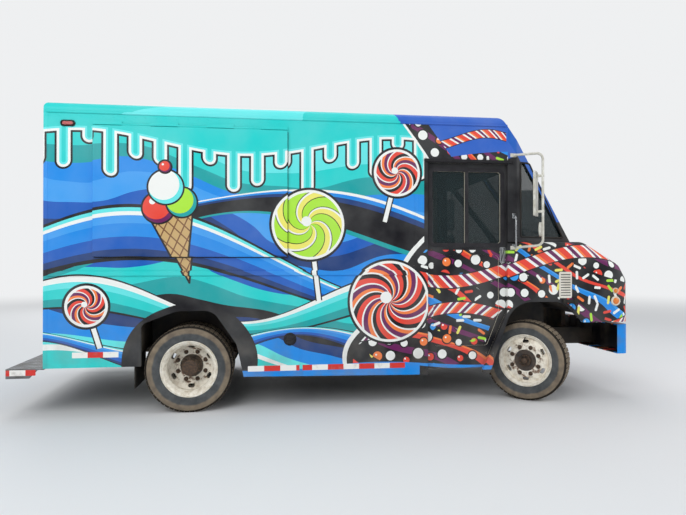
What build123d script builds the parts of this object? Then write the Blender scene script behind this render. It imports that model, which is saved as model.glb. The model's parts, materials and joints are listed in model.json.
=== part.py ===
from build123d import *
import os
from math import cos, hypot, pi, radians, sin

# A walk-in delivery van turned into an ice cream truck, in millimetres.
# +X points to the front, +Y to its left, +Z up. The origin is on the ground,
# at the middle of the length and of the width.

os.makedirs("parts", exist_ok=True)

# Sizes that lay out the truck; the stations below are set from the two axles
BODY_WIDTH = 2360
ROOF_TOP = 2810
WALL = 40
WHEELBASE = 3378
REAR_AXLE_X = -1400
REAR_OVERHANG = 1241     # rear axle to the back of the body
STEP_DEPTH = 313         # rear step behind the body
NOSE_LENGTH = 472        # foot of the screen to the front of the nose
BUMPER_PROUD = 42        # bumper ahead of the nose
TRAVEL_GAP = 10          # between a moving panel and what it passes
SEAT_GAP = 0.3           # between a moving piece and what carries it
SIDE = BODY_WIDTH / 2
INSIDE = SIDE - WALL
FRONT_AXLE_X = REAR_AXLE_X + WHEELBASE

# Wheels and axles
TYRE_R = 394
TYRE_WIDTH = 220
RIM_R = 254
FRONT_TRACK_Y = 1055     # wheel centre when it points straight ahead
KINGPIN_Y = FRONT_TRACK_Y - 120
DUAL_Y = (1040, 780)     # outer and inner rear wheel centres
REST_STEER = 39          # degrees to the right, as it is parked
STEER_ARM = 150
AXLE_Z = TYRE_R

# Body stations
BODY_REAR = REAR_AXLE_X - REAR_OVERHANG
REAR_END = BODY_REAR - STEP_DEPTH
CAB_X = FRONT_AXLE_X - 342      # front edge of the door opening
POST_X = CAB_X + 92             # where the side meets the slanted corner glass
COWL_X = FRONT_AXLE_X + 327     # front edge of the cowl sides
COWL_TOP = 1569
SHOULDER_R = 40
SCREEN_BASE_X = COWL_X + 135
SCREEN_TOP_X = POST_X + 119
SCREEN_TOP_Z = ROOF_TOP - 410
SCREEN_HALF = 900
CAP_R = 150
REAR_TOP_R = 70
ROOF_EDGE_Z = ROOF_TOP - 122    # foot of the roof
ROOF_EDGE_R = 75
ROOF_CROWN = 20
BODY_LOW = 200                  # below every skirt, where the outlines are closed
SKIRT_REAR_Z = 438
SKIRT_MID_Z = (335, 298)        # behind the door and at the front arch
SKIRT_STEP_X = REAR_AXLE_X - 414
FLOOR_Z = 735
FLOOR_T = 35
SILL_Z = 640                    # top of the chassis rails

# Wheel arches: X from the axle, Z from the ground, corner radius
REAR_ARCH = [
    (520, BODY_LOW, 0), (430, 620, 150), (215, 930, 150),
    (-100, 930, 300), (-414, 813, 60), (-414, BODY_LOW, 0),
]
FRONT_ARCH = [
    (-560, BODY_LOW, 0), (-282, 980, 260), (222, 980, 200), (440, 772, 0), (440, BODY_LOW, 0),
]
ARCH_LINER = 20
LINER_LOW_Z = 560
REAR_LINER_Y = 640
FRONT_LINER_Y = 640

# Side doors
DOOR_X = (CAB_X - 804, CAB_X)
DOOR_TOP = ROOF_TOP - 481
DOOR_LOW = (330, 900)    # the front edge slants back below the upper height
DOOR_TOE_X = CAB_X - 254
DOOR_T = 35
DOOR_LAP = 8
DOOR_TRAVEL = 800
DOOR_WINDOW_X = (DOOR_X[0] + 58, CAB_X - 58)
DOOR_WINDOW_Z = (1556, DOOR_TOP - 77)
DOOR_Y = INSIDE - TRAVEL_GAP
POCKET_Y = DOOR_Y - DOOR_T - 15
POCKET_X = DOOR_X[0] - DOOR_TRAVEL - 32

# Belt rail along the side, and the serving hatch above it in the right wall
RUB_RAIL_X = (BODY_REAR + WALL, DOOR_X[0] - 196)
RUB_RAIL_Z = (1246, 1296)
RUB_RAIL_T = 14
HATCH_X = (REAR_AXLE_X - 824, REAR_AXLE_X + 893)
HATCH_Z = (RUB_RAIL_Z[1] + 123, ROOF_TOP - 224)
HATCH_T = 25
HATCH_LAP = 40
HATCH_BARRELS = 7
HATCH_HINGE_R = 8
HATCH_HINGE_Z = HATCH_Z[1] + HATCH_HINGE_R + 5
HATCH_HINGE_Y = -(SIDE + HATCH_HINGE_R + 6)

# Rear doors
REAR_OPEN_Y = SIDE - 280
REAR_OPEN_Z = (FLOOR_Z, ROOF_TOP - 410)
REAR_DOOR_GAP = 6
REAR_HINGE_R = 12
REAR_HINGE_X = BODY_REAR - REAR_HINGE_R - 4
REAR_HINGE_Y = REAR_OPEN_Y + 10
REAR_HINGE_Z = (REAR_OPEN_Z[0] + 215, (REAR_OPEN_Z[0] + REAR_OPEN_Z[1] + 5) / 2, REAR_OPEN_Z[1] - 210)
REAR_BARREL = 60

# Nose that tilts forward
NOSE_X = COWL_X + 5
NOSE_FRONT = SCREEN_BASE_X + NOSE_LENGTH
NOSE_LOW = 772
NOSE_CORNER_R = 80
NOSE_WALL = 25
FACE_TOP = 1195          # upright front face up to here
BROW_X = NOSE_FRONT - 82
BROW_Z = 1347            # where the brow meets the sloping hood
NOTCH_Y = SIDE - 195
NOTCH_X = SCREEN_BASE_X + 16
NOSE_PIVOT_X = NOSE_FRONT - 17
NOSE_PIVOT_Z = NOSE_LOW - 15
GRILLE_Y = 430
GRILLE_Z = (830, 1130)
HEADLAMP_Y = 720
HEADLAMP_Z = 985
HEADLAMP_R = 95

# Chassis
RAIL_Y = 432
RAIL_FLANGE = 70
RAIL_T = 8
RAIL_LOW_Z = 460
RAIL_X = (BODY_REAR + 81, NOSE_FRONT - 112)
RAIL_OUT = RAIL_Y + RAIL_FLANGE / 2
RAIL_WEB = RAIL_OUT - RAIL_T
RADIATOR_X = NOSE_FRONT - 292
CROSS_X = (
    RAIL_X[0] + 60, REAR_AXLE_X - 650, REAR_AXLE_X + 580,
    REAR_AXLE_X + 1500, FRONT_AXLE_X - 1078, RADIATOR_X,
)
CROSS_W = 50
CROSS_LOW_Z = 575
SILL_X = (BODY_REAR + 191, REAR_AXLE_X - 500, REAR_AXLE_X + 620, REAR_AXLE_X + 1200, REAR_AXLE_X + 1800)
SILL_W = 60
SPRING_LEAF = 10
FRONT_SPRING_Y = RAIL_Y
REAR_SPRING_Y = 550
SPRING_W = 60
SPRING_HALF = 560
BEAM_DROP_Z = 300

FRONT_END = NOSE_FRONT + BUMPER_PROUD
BUMPER_X = (NOSE_FRONT - 82, FRONT_END)
BUMPER_Z = (443, 739)
BUMPER_Y = SIDE - 70
BUMPER_T = 10
STEP_TOP = 437
STEP_LOW = 352
STEP_Y = SIDE - 20
STEP_PLATE = 10
TREAD_T = 12


def outline(points):
    """Flat face through (u, v, corner radius) points."""
    places = [(u, v) for u, v, r in points]
    radii = [r for u, v, r in points]
    return make_face(FilletPolyline(*places, radius=radii, close=True))


def sharp(points):
    """Flat face with sharp corners through (u, v) points."""
    return make_face(Polyline(*points, close=True))


def set_in(points, wall):
    """The same outline with each edge moved in by a wall; points run anticlockwise."""
    moved = []
    for i, (u, v, r) in enumerate(points):
        before = Vector(u - points[i - 1][0], v - points[i - 1][1])
        after = Vector(points[i + 1 - len(points)][0] - u, points[i + 1 - len(points)][1] - v)
        a = Vector(-before.Y, before.X).normalized()
        b = Vector(-after.Y, after.X).normalized()
        step = (a + b) * (wall / (1 + a.dot(b)))
        moved.append((u + step.X, v + step.Y, max(r - wall, 0)))
    return moved


def along_x(face, x):
    """Prism of a face drawn as (Y, Z), between two X stations."""
    return extrude(Plane.YZ.offset(x[0]) * face, x[1] - x[0])


def along_y(face, y):
    """Prism of a face drawn as (X, Z), between two Y stations."""
    return extrude(Plane.XZ.offset(-y[1]) * face, y[1] - y[0])


def along_z(face, z):
    """Prism of a face drawn as (X, Y), between two heights."""
    return extrude(Plane.XY.offset(z[0]) * face, z[1] - z[0])


def block(x, y, z):
    """Block between low and high values of X, Y and Z."""
    middle = Pos((x[0] + x[1]) / 2, (y[0] + y[1]) / 2, (z[0] + z[1]) / 2)
    return middle * Box(x[1] - x[0], y[1] - y[0], z[1] - z[0])


def rod(start, end, radius):
    """Round bar between two points."""
    span = Vector(*end) - Vector(*start)
    seat = Plane(origin=start, z_dir=span)
    return seat * Cylinder(radius, span.length, align=(Align.CENTER, Align.CENTER, Align.MIN))


def tube(points, radius, bend):
    """Round bar along straight runs with one bend radius."""
    path = FilletPolyline(*points, radius=bend)
    return sweep(Plane(origin=path @ 0, z_dir=path % 0) * Circle(radius), path)


def about(middle, width):
    """Low and high values of a width about its middle."""
    return (middle - width / 2, middle + width / 2)


def both_sides(shape):
    """The shape and its mirror image on the other side of the truck."""
    return shape + mirror(shape, Plane.XZ)


def save(name, shape):
    """Write one piece under its own name."""
    export_step(shape, "parts/" + name + ".step")


# Body shell: three outlines, each set in by one wall for the inner skin
FAR = (-2000, 2000)
screen_rake = (SCREEN_BASE_X - SCREEN_TOP_X) / (SCREEN_TOP_Z - COWL_TOP)
cap_x = SCREEN_BASE_X - screen_rake * (ROOF_TOP - COWL_TOP)


def body_form(inset):
    """Outer form of the body, or the form set in by a wall."""
    side = outline([
        (BODY_REAR, BODY_LOW, 0),
        (SCREEN_BASE_X, BODY_LOW, 0),
        (SCREEN_BASE_X, COWL_TOP, 0),
        (cap_x, ROOF_TOP, CAP_R),
        (BODY_REAR, ROOF_TOP, REAR_TOP_R),
    ])
    plan = offset(glass_plan(), -inset, kind=Kind.INTERSECTION)
    section = offset(roof_section(), -inset, kind=Kind.INTERSECTION)
    side = offset(side, -inset, kind=Kind.INTERSECTION)
    form = along_y(side, (-SIDE, SIDE))
    form = form & along_z(plan, (BODY_LOW, ROOF_TOP))
    return form & along_x(section, (BODY_REAR, SCREEN_BASE_X))


def glass_plan():
    """Plan of the body with the two slanted corner panes."""
    taper = (SIDE - SCREEN_HALF) / (SCREEN_BASE_X - POST_X)
    tip_x = SCREEN_BASE_X + 100
    tip_y = SCREEN_HALF - 100 * taper
    return sharp([
        (BODY_REAR, -SIDE), (POST_X, -SIDE), (tip_x, -tip_y),
        (tip_x, tip_y), (POST_X, SIDE), (BODY_REAR, SIDE),
    ])


def roof_section():
    """Upright walls, rounded roof edges and a lightly crowned roof."""
    eave = ROOF_TOP - ROOF_CROWN
    walls = Polyline((SIDE, eave), (SIDE, BODY_LOW), (-SIDE, BODY_LOW), (-SIDE, eave))
    crown = ThreePointArc((-SIDE, eave), (0, ROOF_TOP), (SIDE, eave))
    face = make_face(walls + crown)
    return fillet(face.vertices().sort_by(Axis.Y)[-2:], ROOF_EDGE_R)


def arch(shape, axle_x, y):
    """Prism of a wheel arch at its axle."""
    return along_y(outline([(axle_x + u, v, r) for u, v, r in shape]), y)


shell = body_form(0) - body_form(WALL)

# Side walls, from the rear frame to the front edge of the doors
wall_profile = sharp([
    (BODY_REAR + WALL, SKIRT_REAR_Z), (SKIRT_STEP_X, SKIRT_REAR_Z),
    (SKIRT_STEP_X, SKIRT_MID_Z[0]), (DOOR_X[0], SKIRT_MID_Z[1]),
    (DOOR_X[0], DOOR_TOP), (CAB_X, DOOR_TOP),
    (CAB_X, ROOF_EDGE_Z), (BODY_REAR + WALL, ROOF_EDGE_Z),
])
TRACK_T = 45
TRACK_H = 40


def hinge_row(length, count):
    """Low and high ends of hinge barrels that share one pin."""
    pitch = length / count
    return [(i * pitch + SEAT_GAP / 2, (i + 1) * pitch - SEAT_GAP / 2) for i in range(count)]


hatch_barrels = hinge_row(HATCH_X[1] - HATCH_X[0], HATCH_BARRELS)


def wall_plate():
    """Right-hand wall before the hatch is cut, with its rail and door track."""
    plate = along_y(wall_profile, (-SIDE, -INSIDE)) & shell
    plate -= arch(REAR_ARCH, REAR_AXLE_X, (-SIDE - 1, -INSIDE + 1))
    rail = block(RUB_RAIL_X, (-SIDE - RUB_RAIL_T, -SIDE), RUB_RAIL_Z)
    rail = chamfer(rail.faces().sort_by(Axis.Y)[0].edges(), RUB_RAIL_T / 2)
    track_z = (DOOR_TOP + DOOR_LAP + SEAT_GAP, DOOR_TOP + DOOR_LAP + TRACK_H)
    track = block((POCKET_X, CAB_X), (-INSIDE, -INSIDE + TRACK_T), track_z)
    return plate + rail + track


hatch_hole_x = (HATCH_X[0] + HATCH_LAP, HATCH_X[1] - HATCH_LAP)
hatch_hole_z = (HATCH_Z[0] + HATCH_LAP, HATCH_Z[1] - HATCH_LAP)
hatch_hole = block(hatch_hole_x, (-SIDE - 1, -INSIDE + 1), hatch_hole_z)
wall_right = wall_plate() - hatch_hole
hatch_pin_line = (HATCH_HINGE_Y, HATCH_HINGE_Z)
HATCH_LUG = 30
for low, high in hatch_barrels[0::2]:
    x = (HATCH_X[0] + low, HATCH_X[0] + high)
    wall_right += rod((x[0], *hatch_pin_line), (x[1], *hatch_pin_line), HATCH_HINGE_R)
    wall_right += block(x, (HATCH_HINGE_Y, -SIDE), (HATCH_HINGE_Z, HATCH_HINGE_Z + HATCH_LUG))
save("wall_right", wall_right)
save("wall_left", mirror(wall_plate(), Plane.XZ))

# Roof between the rear frame and the cab
roof = shell & block((BODY_REAR + WALL, CAB_X), FAR, (ROOF_EDGE_Z, ROOF_TOP + 1))
save("roof", roof)

# Rear frame with the door opening, hinge lugs and number plate holes
rear_frame = shell & block((BODY_REAR - 1, BODY_REAR + WALL), FAR, (SKIRT_REAR_Z, ROOF_TOP + 1))
rear_frame -= block((BODY_REAR - 1, BODY_REAR + WALL + 1), (-REAR_OPEN_Y, REAR_OPEN_Y), REAR_OPEN_Z)
PLATE_HOLE_R = 3.5
PLATE_SPACING = (178, 121)
PLATE_Z = 590
for y in about(0, PLATE_SPACING[0]):
    for z in about(PLATE_Z, PLATE_SPACING[1]):
        rear_frame -= rod((BODY_REAR - 1, y, z), (BODY_REAR + WALL + 1, y, z), PLATE_HOLE_R)
LUG_REACH = 60
for z in REAR_HINGE_Z:
    for lug_z in (z - REAR_BARREL - SEAT_GAP, z + REAR_BARREL + SEAT_GAP):
        span = about(lug_z, REAR_BARREL)
        lug = rod((REAR_HINGE_X, REAR_HINGE_Y, span[0]), (REAR_HINGE_X, REAR_HINGE_Y, span[1]), REAR_HINGE_R)
        lug += block((REAR_HINGE_X, BODY_REAR), (REAR_HINGE_Y, REAR_HINGE_Y + LUG_REACH), span)
        rear_frame += both_sides(lug)
save("rear_frame", rear_frame)

# Cab front above the cowl: corner posts, screen frame and roof cap
cab_front = shell & block((CAB_X, SCREEN_BASE_X + 1), FAR, (COWL_TOP, ROOF_TOP + 1))
screen_slope = Vector(SCREEN_TOP_X - SCREEN_BASE_X, 0, SCREEN_TOP_Z - COWL_TOP)
screen_normal = Vector(screen_slope.Z, 0, -screen_slope.X).normalized()
screen_plane = Plane(origin=(SCREEN_BASE_X, 0, COWL_TOP), x_dir=(0, 1, 0), z_dir=screen_normal)
corner_run = Vector(SCREEN_BASE_X - POST_X, SIDE - SCREEN_HALF, 0)
corner_normal = Vector(corner_run.Y, -corner_run.X, 0).normalized()
corner_plane = Plane(origin=(POST_X, -SIDE, 0), x_dir=corner_run, z_dir=corner_normal)
FRAME_W = 50
GLASS_T = 6
GLASS_SET = -18          # outer face of the glass below the frame's face
screen_length = screen_slope.length
corner_length = corner_run.length
pillar_pull = corner_length - corner_length * (SCREEN_TOP_X - POST_X) / (SCREEN_BASE_X - POST_X)
screen_top_half = SCREEN_HALF + pillar_pull * (SIDE - SCREEN_HALF) / corner_length
screen_flare = (screen_top_half - SCREEN_HALF) / screen_length
pillar_slope = pillar_pull / (SCREEN_TOP_Z - COWL_TOP)
pane_low = COWL_TOP + FRAME_W
pane_high = SCREEN_TOP_Z - FRAME_W


def screen_edge(v):
    """Half width of the front pane at a height along the screen."""
    return SCREEN_HALF + screen_flare * v - FRAME_W


def corner_edge(z):
    """Front edge of the corner pane at a height."""
    return corner_length - pillar_slope * (z - COWL_TOP) - FRAME_W * hypot(1, pillar_slope)


screen_pane = outline([
    (FRAME_W / 2, FRAME_W, 20),
    (screen_edge(FRAME_W), FRAME_W, 50),
    (screen_edge(screen_length - FRAME_W), screen_length - FRAME_W, 50),
    (FRAME_W / 2, screen_length - FRAME_W, 20),
])
corner_pane = outline([
    (FRAME_W, pane_low, 25),
    (corner_edge(pane_low), pane_low, 25),
    (corner_edge(pane_high), pane_high, 10),
    (FRAME_W, pane_high, 10),
])


def pane(plane, face, low, high):
    """Slab over a pane's outline between two depths along its normal."""
    return extrude(plane.offset(low) * face, high - low)


cab_front -= both_sides(pane(screen_plane, screen_pane, -WALL - 25, 20))
cab_front -= both_sides(pane(corner_plane, corner_pane, -WALL - 5, 5))
save("cab_front", cab_front)
glass = both_sides(pane(screen_plane, screen_pane, GLASS_SET - GLASS_T, GLASS_SET))
glass += both_sides(pane(corner_plane, corner_pane, GLASS_SET - GLASS_T, GLASS_SET))
save("cab_glass", glass)

# Cowl: cab sides below the glass, shoulder ledge, firewall and screen shelf
FIREWALL_T = 30
SHELF_T = 30
TUNNEL_Y = 380
TUNNEL_TOP = 1150
firewall_x = (COWL_X - FIREWALL_T, COWL_X)
cowl_section = outline([
    (-SIDE, BODY_LOW, 0), (SIDE, BODY_LOW, 0),
    (SIDE, COWL_TOP, SHOULDER_R), (-SIDE, COWL_TOP, SHOULDER_R),
])
cowl_profile = sharp([
    (CAB_X, COWL_TOP), (CAB_X, DOOR_LOW[1]), (DOOR_TOE_X, DOOR_LOW[0]),
    (DOOR_TOE_X, SKIRT_MID_Z[1]), (COWL_X, SKIRT_MID_Z[1]), (COWL_X, COWL_TOP),
])
cowl_x = (DOOR_TOE_X, COWL_X)
cowl = along_x(cowl_section, cowl_x) - along_x(offset(cowl_section, -WALL, kind=Kind.INTERSECTION), cowl_x)
cowl = cowl & along_y(cowl_profile, FAR)
cowl -= along_z(offset(glass_plan(), -WALL, kind=Kind.INTERSECTION), (COWL_TOP - WALL - 1, COWL_TOP + 1))
firewall = block(firewall_x, (-INSIDE, INSIDE), (FLOOR_Z - FLOOR_T, COWL_TOP - SHELF_T))
firewall -= block(firewall_x, (-TUNNEL_Y, TUNNEL_Y), (FLOOR_Z - FLOOR_T - 1, TUNNEL_TOP))
shelf_x = (firewall_x[0], NOTCH_X - 7)
shelf_y = NOTCH_Y - 7
shelf = block(shelf_x, (-shelf_y, shelf_y), (COWL_TOP - SHELF_T, COWL_TOP))
cowl = cowl + firewall - arch(FRONT_ARCH, FRONT_AXLE_X, FAR) + shelf
save("cowl", cowl)

# Louvred vent panels low on the cowl sides
LOUVER_X = (COWL_X - 140, COWL_X - 8)
LOUVER_Z = (1016, 1275)
LOUVER_T = 8
LOUVER_EDGE = 15
LOUVER_SLOTS = 9
SLOT_H = 6
louver = block(LOUVER_X, (-SIDE - LOUVER_T, -SIDE), LOUVER_Z)
louver = fillet(louver.edges().filter_by(Axis.Y), 18)
slot_x = (LOUVER_X[0] + LOUVER_EDGE, LOUVER_X[1] - LOUVER_EDGE)
slot_y = (-SIDE - LOUVER_T - 1, -SIDE - 2)
slot_pitch = (LOUVER_Z[1] - LOUVER_Z[0] - 2 * LOUVER_EDGE) / LOUVER_SLOTS
for i in range(LOUVER_SLOTS):
    slot_z = LOUVER_Z[0] + LOUVER_EDGE + slot_pitch * (i + 0.5)
    louver -= block(slot_x, slot_y, about(slot_z, SLOT_H))
save("louver_panels", both_sides(louver))


# Tilting nose: open shell with arms that reach back beside the shelf
def nose_form(wall):
    """Outer form of the nose, or the form set in by a wall and open behind and below."""
    hood_z = COWL_TOP + 5
    side = outline(set_in([
        (NOSE_X - 2 * wall, NOSE_LOW - 2 * wall, 0),
        (NOSE_FRONT, NOSE_LOW - 2 * wall, 0),
        (NOSE_FRONT, FACE_TOP, 110),
        (BROW_X, BROW_Z, 110),
        (SCREEN_BASE_X + 5, hood_z, 140),
        (NOSE_X - 2 * wall, hood_z, 0),
    ], wall))
    form = along_y(side, (-SIDE + wall, SIDE - wall))
    ends = form.faces().filter_by(Axis.Y).edges()
    rims = ends.filter_by(lambda e: e.center().X > NOSE_X + 1 and e.center().Z > NOSE_LOW + 1)
    return fillet(rims, NOSE_CORNER_R - wall)


nose = nose_form(0) - nose_form(NOSE_WALL)
nose -= block((NOSE_X - 1, NOTCH_X), (-NOTCH_Y, NOTCH_Y), (NOSE_LOW - 1, ROOF_TOP))
nose -= arch(FRONT_ARCH, FRONT_AXLE_X, FAR)
face_x = (NOSE_FRONT - NOSE_WALL - 1, NOSE_FRONT + 1)
nose -= block(face_x, (-GRILLE_Y, GRILLE_Y), GRILLE_Z)
for y in (-HEADLAMP_Y, HEADLAMP_Y):
    nose -= rod((face_x[0], y, HEADLAMP_Z), (face_x[1], y, HEADLAMP_Z), HEADLAMP_R)
PIVOT_Y = 350
PIVOT_R = 12
EAR_W = 30
for y in (-PIVOT_Y, PIVOT_Y):
    ear_y = about(y, EAR_W)
    ear = rod((NOSE_PIVOT_X, ear_y[0], NOSE_PIVOT_Z), (NOSE_PIVOT_X, ear_y[1], NOSE_PIVOT_Z), PIVOT_R)
    ear += block(about(NOSE_PIVOT_X, 2 * PIVOT_R), ear_y, (NOSE_PIVOT_Z, NOSE_LOW + NOSE_WALL))
    nose += ear
save("nose_shell", nose)

# Grille: frame and level bars in the nose opening
BAR_T = 14
BARS = 7
GRILLE_EDGE = 20
grille_x = (NOSE_FRONT - 22, NOSE_FRONT + 6)
bar_x = (NOSE_FRONT - 20, NOSE_FRONT + 2)
bar_y = (-GRILLE_Y + GRILLE_EDGE, GRILLE_Y - GRILLE_EDGE)
bar_z = (GRILLE_Z[0] + GRILLE_EDGE, GRILLE_Z[1] - GRILLE_EDGE)
grille = block(grille_x, (-GRILLE_Y, GRILLE_Y), GRILLE_Z) - block(grille_x, bar_y, bar_z)
bar_pitch = (bar_z[1] - bar_z[0]) / (BARS + 1)
for i in range(BARS):
    grille += block(bar_x, bar_y, about(bar_z[0] + bar_pitch * (i + 1), BAR_T))
save("grille", grille)

# Round headlamps and the amber lamps on the nose sides
SIDE_LAMP_X = NOSE_FRONT - 148
SIDE_LAMP = [(1085, 30, 12), (983, 48, 18)]   # height, radius, depth
HEADLAMP_DEEP = 60
lamps = Part()
for z, r, deep in SIDE_LAMP:
    lamps += rod((SIDE_LAMP_X, -SIDE, z), (SIDE_LAMP_X, -SIDE - deep, z), r)
headlamp_x = (NOSE_FRONT - HEADLAMP_DEEP, NOSE_FRONT + 4)
lamps += rod((headlamp_x[0], -HEADLAMP_Y, HEADLAMP_Z), (headlamp_x[1], -HEADLAMP_Y, HEADLAMP_Z), HEADLAMP_R)
save("nose_lamps", both_sides(lamps))

# Sliding side doors, hung from the track inside the wall
door_low_z = SKIRT_MID_Z[0] + 10
door_slant = (CAB_X - DOOR_TOE_X) / (DOOR_LOW[1] - DOOR_LOW[0])
door_face = sharp([
    (DOOR_X[0] - 20, door_low_z),
    (DOOR_TOE_X + DOOR_LAP + door_slant * (door_low_z - DOOR_LOW[0]), door_low_z),
    (CAB_X + DOOR_LAP, DOOR_LOW[1]),
    (CAB_X + DOOR_LAP, DOOR_TOP + DOOR_LAP),
    (DOOR_X[0] - 20, DOOR_TOP + DOOR_LAP),
])
DOOR_POST_W = 36
PRESS_DEPTH = 8          # of the panels pressed into the doors
door_y = (-DOOR_Y, -DOOR_Y + DOOR_T)
window = along_y(outline([
    (DOOR_WINDOW_X[0], DOOR_WINDOW_Z[0], 30), (DOOR_WINDOW_X[1], DOOR_WINDOW_Z[0], 30),
    (DOOR_WINDOW_X[1], DOOR_WINDOW_Z[1], 30), (DOOR_WINDOW_X[0], DOOR_WINDOW_Z[1], 30),
]), (door_y[0] - 1, door_y[1] + 1))
window -= block(about(sum(DOOR_WINDOW_X) / 2, DOOR_POST_W), FAR, (0, ROOF_TOP))
door = along_y(door_face, door_y) - window
door_press = outline([
    (DOOR_X[0] + 68, 560, 40), (CAB_X - 196, 560, 40), (CAB_X - 76, 860, 40),
    (CAB_X - 76, 1440, 40), (DOOR_X[0] + 68, 1440, 40),
])
door -= along_y(door_press, (door_y[0] - 1, door_y[0] + PRESS_DEPTH))
door_pane = window & block((0, COWL_X), about(-DOOR_Y + DOOR_T / 2, GLASS_T), (0, ROOF_TOP))
save("door_right", door)
save("door_left", mirror(door, Plane.XZ))
save("door_glass_right", door_pane)
save("door_glass_left", mirror(door_pane, Plane.XZ))

# Serving hatch: proud panel on a long hinge
HATCH_OFF = 5
HATCH_EDGE_R = 6
hatch_y = (-SIDE - HATCH_OFF - HATCH_T, -SIDE - HATCH_OFF)
hatch = block(HATCH_X, hatch_y, HATCH_Z)
hatch = fillet(hatch.faces().sort_by(Axis.Y)[0].edges(), HATCH_EDGE_R)
for low, high in hatch_barrels[1::2]:
    x = (HATCH_X[0] + low, HATCH_X[0] + high)
    hatch += rod((x[0], *hatch_pin_line), (x[1], *hatch_pin_line), HATCH_HINGE_R)
    hatch += block(x, about(HATCH_HINGE_Y, HATCH_HINGE_R), (HATCH_Z[1] - 10, HATCH_HINGE_Z))
save("hatch", hatch)

# Rear doors with pressed panels and hinge straps
PRESS_EDGE = 90
STRAP = 85               # reach of a hinge strap over the leaf
leaf_y = (REAR_DOOR_GAP / 2, REAR_OPEN_Y - REAR_DOOR_GAP)
leaf_z = (REAR_OPEN_Z[0] + REAR_DOOR_GAP, REAR_OPEN_Z[1] - REAR_DOOR_GAP)
leaf = block((BODY_REAR, BODY_REAR + WALL), leaf_y, leaf_z)
press_x = (BODY_REAR - 1, BODY_REAR + PRESS_DEPTH)
press_y = (leaf_y[0] + PRESS_EDGE, leaf_y[1] - PRESS_EDGE)
leaf -= block(press_x, press_y, (leaf_z[0] + PRESS_EDGE, REAR_HINGE_Z[1] - PRESS_EDGE))
leaf -= block(press_x, press_y, (REAR_HINGE_Z[1] + PRESS_EDGE, leaf_z[1] - PRESS_EDGE))
for z in REAR_HINGE_Z:
    span = about(z, REAR_BARREL)
    leaf += rod((REAR_HINGE_X, REAR_HINGE_Y, span[0]), (REAR_HINGE_X, REAR_HINGE_Y, span[1]), REAR_HINGE_R)
    leaf += block((REAR_HINGE_X + 4, BODY_REAR), (REAR_HINGE_Y - STRAP, REAR_HINGE_Y), span)
save("rear_door_left", leaf)
save("rear_door_right", mirror(leaf, Plane.XZ))

# Floor with cross sills and the two step wells
WELL_X = (DOOR_X[0] + 18, CAB_X - 286)
WELL_Y = INSIDE - 340
WELL_Z = 390
WELL_T = 14
floor_face = sharp([
    (BODY_REAR + WALL, -INSIDE), (POCKET_X, -INSIDE), (POCKET_X, -POCKET_Y),
    (firewall_x[0], -POCKET_Y), (firewall_x[0], POCKET_Y),
    (POCKET_X, POCKET_Y), (POCKET_X, INSIDE), (BODY_REAR + WALL, INSIDE),
])
floor = along_z(floor_face, (FLOOR_Z - FLOOR_T, FLOOR_Z))
for x in SILL_X:
    floor += block((x, x + SILL_W), (-POCKET_Y, POCKET_Y), (SILL_Z, FLOOR_Z - FLOOR_T))


def liner(shape, axle_x, inner_y):
    """Sheet over one wheel arch, and the whole space that it takes."""
    face = outline([(axle_x + u, v, r) for u, v, r in shape])
    grown = offset(face, ARCH_LINER, kind=Kind.INTERSECTION)
    space = along_y(grown, (-INSIDE, -inner_y + ARCH_LINER))
    return space - along_y(face, (-INSIDE, -inner_y)), space


above_low = block((REAR_END, firewall_x[0]), FAR, (LINER_LOW_Z, ROOF_TOP))
rear_liner, rear_space = liner(REAR_ARCH, REAR_AXLE_X, REAR_LINER_Y)
front_liner, front_space = liner(FRONT_ARCH, FRONT_AXLE_X, FRONT_LINER_Y)
floor -= both_sides(rear_space + front_space)
well = block(WELL_X, (-POCKET_Y, -WELL_Y + WELL_T), (WELL_Z, FLOOR_Z - FLOOR_T))
well_space_x = (WELL_X[0] + WELL_T, WELL_X[1] - WELL_T)
well_space = block(well_space_x, (-POCKET_Y - 1, -WELL_Y), (WELL_Z + WELL_T, FLOOR_Z + 1))
floor = floor + both_sides(well) - both_sides(well_space)
floor -= block((CAB_X, COWL_X), (-TUNNEL_Y, TUNNEL_Y), (FLOOR_Z - FLOOR_T - 1, FLOOR_Z + 1))
save("floor", floor)
save("wheelhouses", both_sides((rear_liner + front_liner) & above_low))

# Chassis: two channel rails and cross members
rail_in = -RAIL_Y + RAIL_FLANGE / 2
rail_section = sharp([
    (-RAIL_OUT, RAIL_LOW_Z), (rail_in, RAIL_LOW_Z), (rail_in, RAIL_LOW_Z + RAIL_T),
    (-RAIL_WEB, RAIL_LOW_Z + RAIL_T), (-RAIL_WEB, SILL_Z - RAIL_T),
    (rail_in, SILL_Z - RAIL_T), (rail_in, SILL_Z), (-RAIL_OUT, SILL_Z),
])
chassis = both_sides(along_x(rail_section, RAIL_X))
for x in CROSS_X:
    chassis += block((x, x + CROSS_W), (-RAIL_WEB, RAIL_WEB), (CROSS_LOW_Z, SILL_Z - RAIL_T))
# Spring hangers, bumper arms, step arms and nose pivot brackets ride on the rails
FRONT_EYE_Z = 430
REAR_EYE_Z = 500
EYE_R = 18
HANGER_W = 50
HANGER_H = 60
front_hanger_y = (-FRONT_SPRING_Y - RAIL_FLANGE / 2, -FRONT_SPRING_Y + RAIL_FLANGE / 2)
rear_hanger_y = (-REAR_SPRING_Y - SPRING_W / 2 - 5, -RAIL_OUT)
for x in about(FRONT_AXLE_X, 2 * SPRING_HALF):
    hanger = block(about(x, HANGER_W), front_hanger_y, (FRONT_EYE_Z + EYE_R, RAIL_LOW_Z))
    chassis += both_sides(hanger)
for x in about(REAR_AXLE_X, 2 * SPRING_HALF):
    hanger = block(about(x, HANGER_W), rear_hanger_y, (REAR_EYE_Z + EYE_R, REAR_EYE_Z + EYE_R + HANGER_H))
    chassis += both_sides(hanger)
arm_y = (-RAIL_OUT, -RAIL_OUT + 12)
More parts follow.
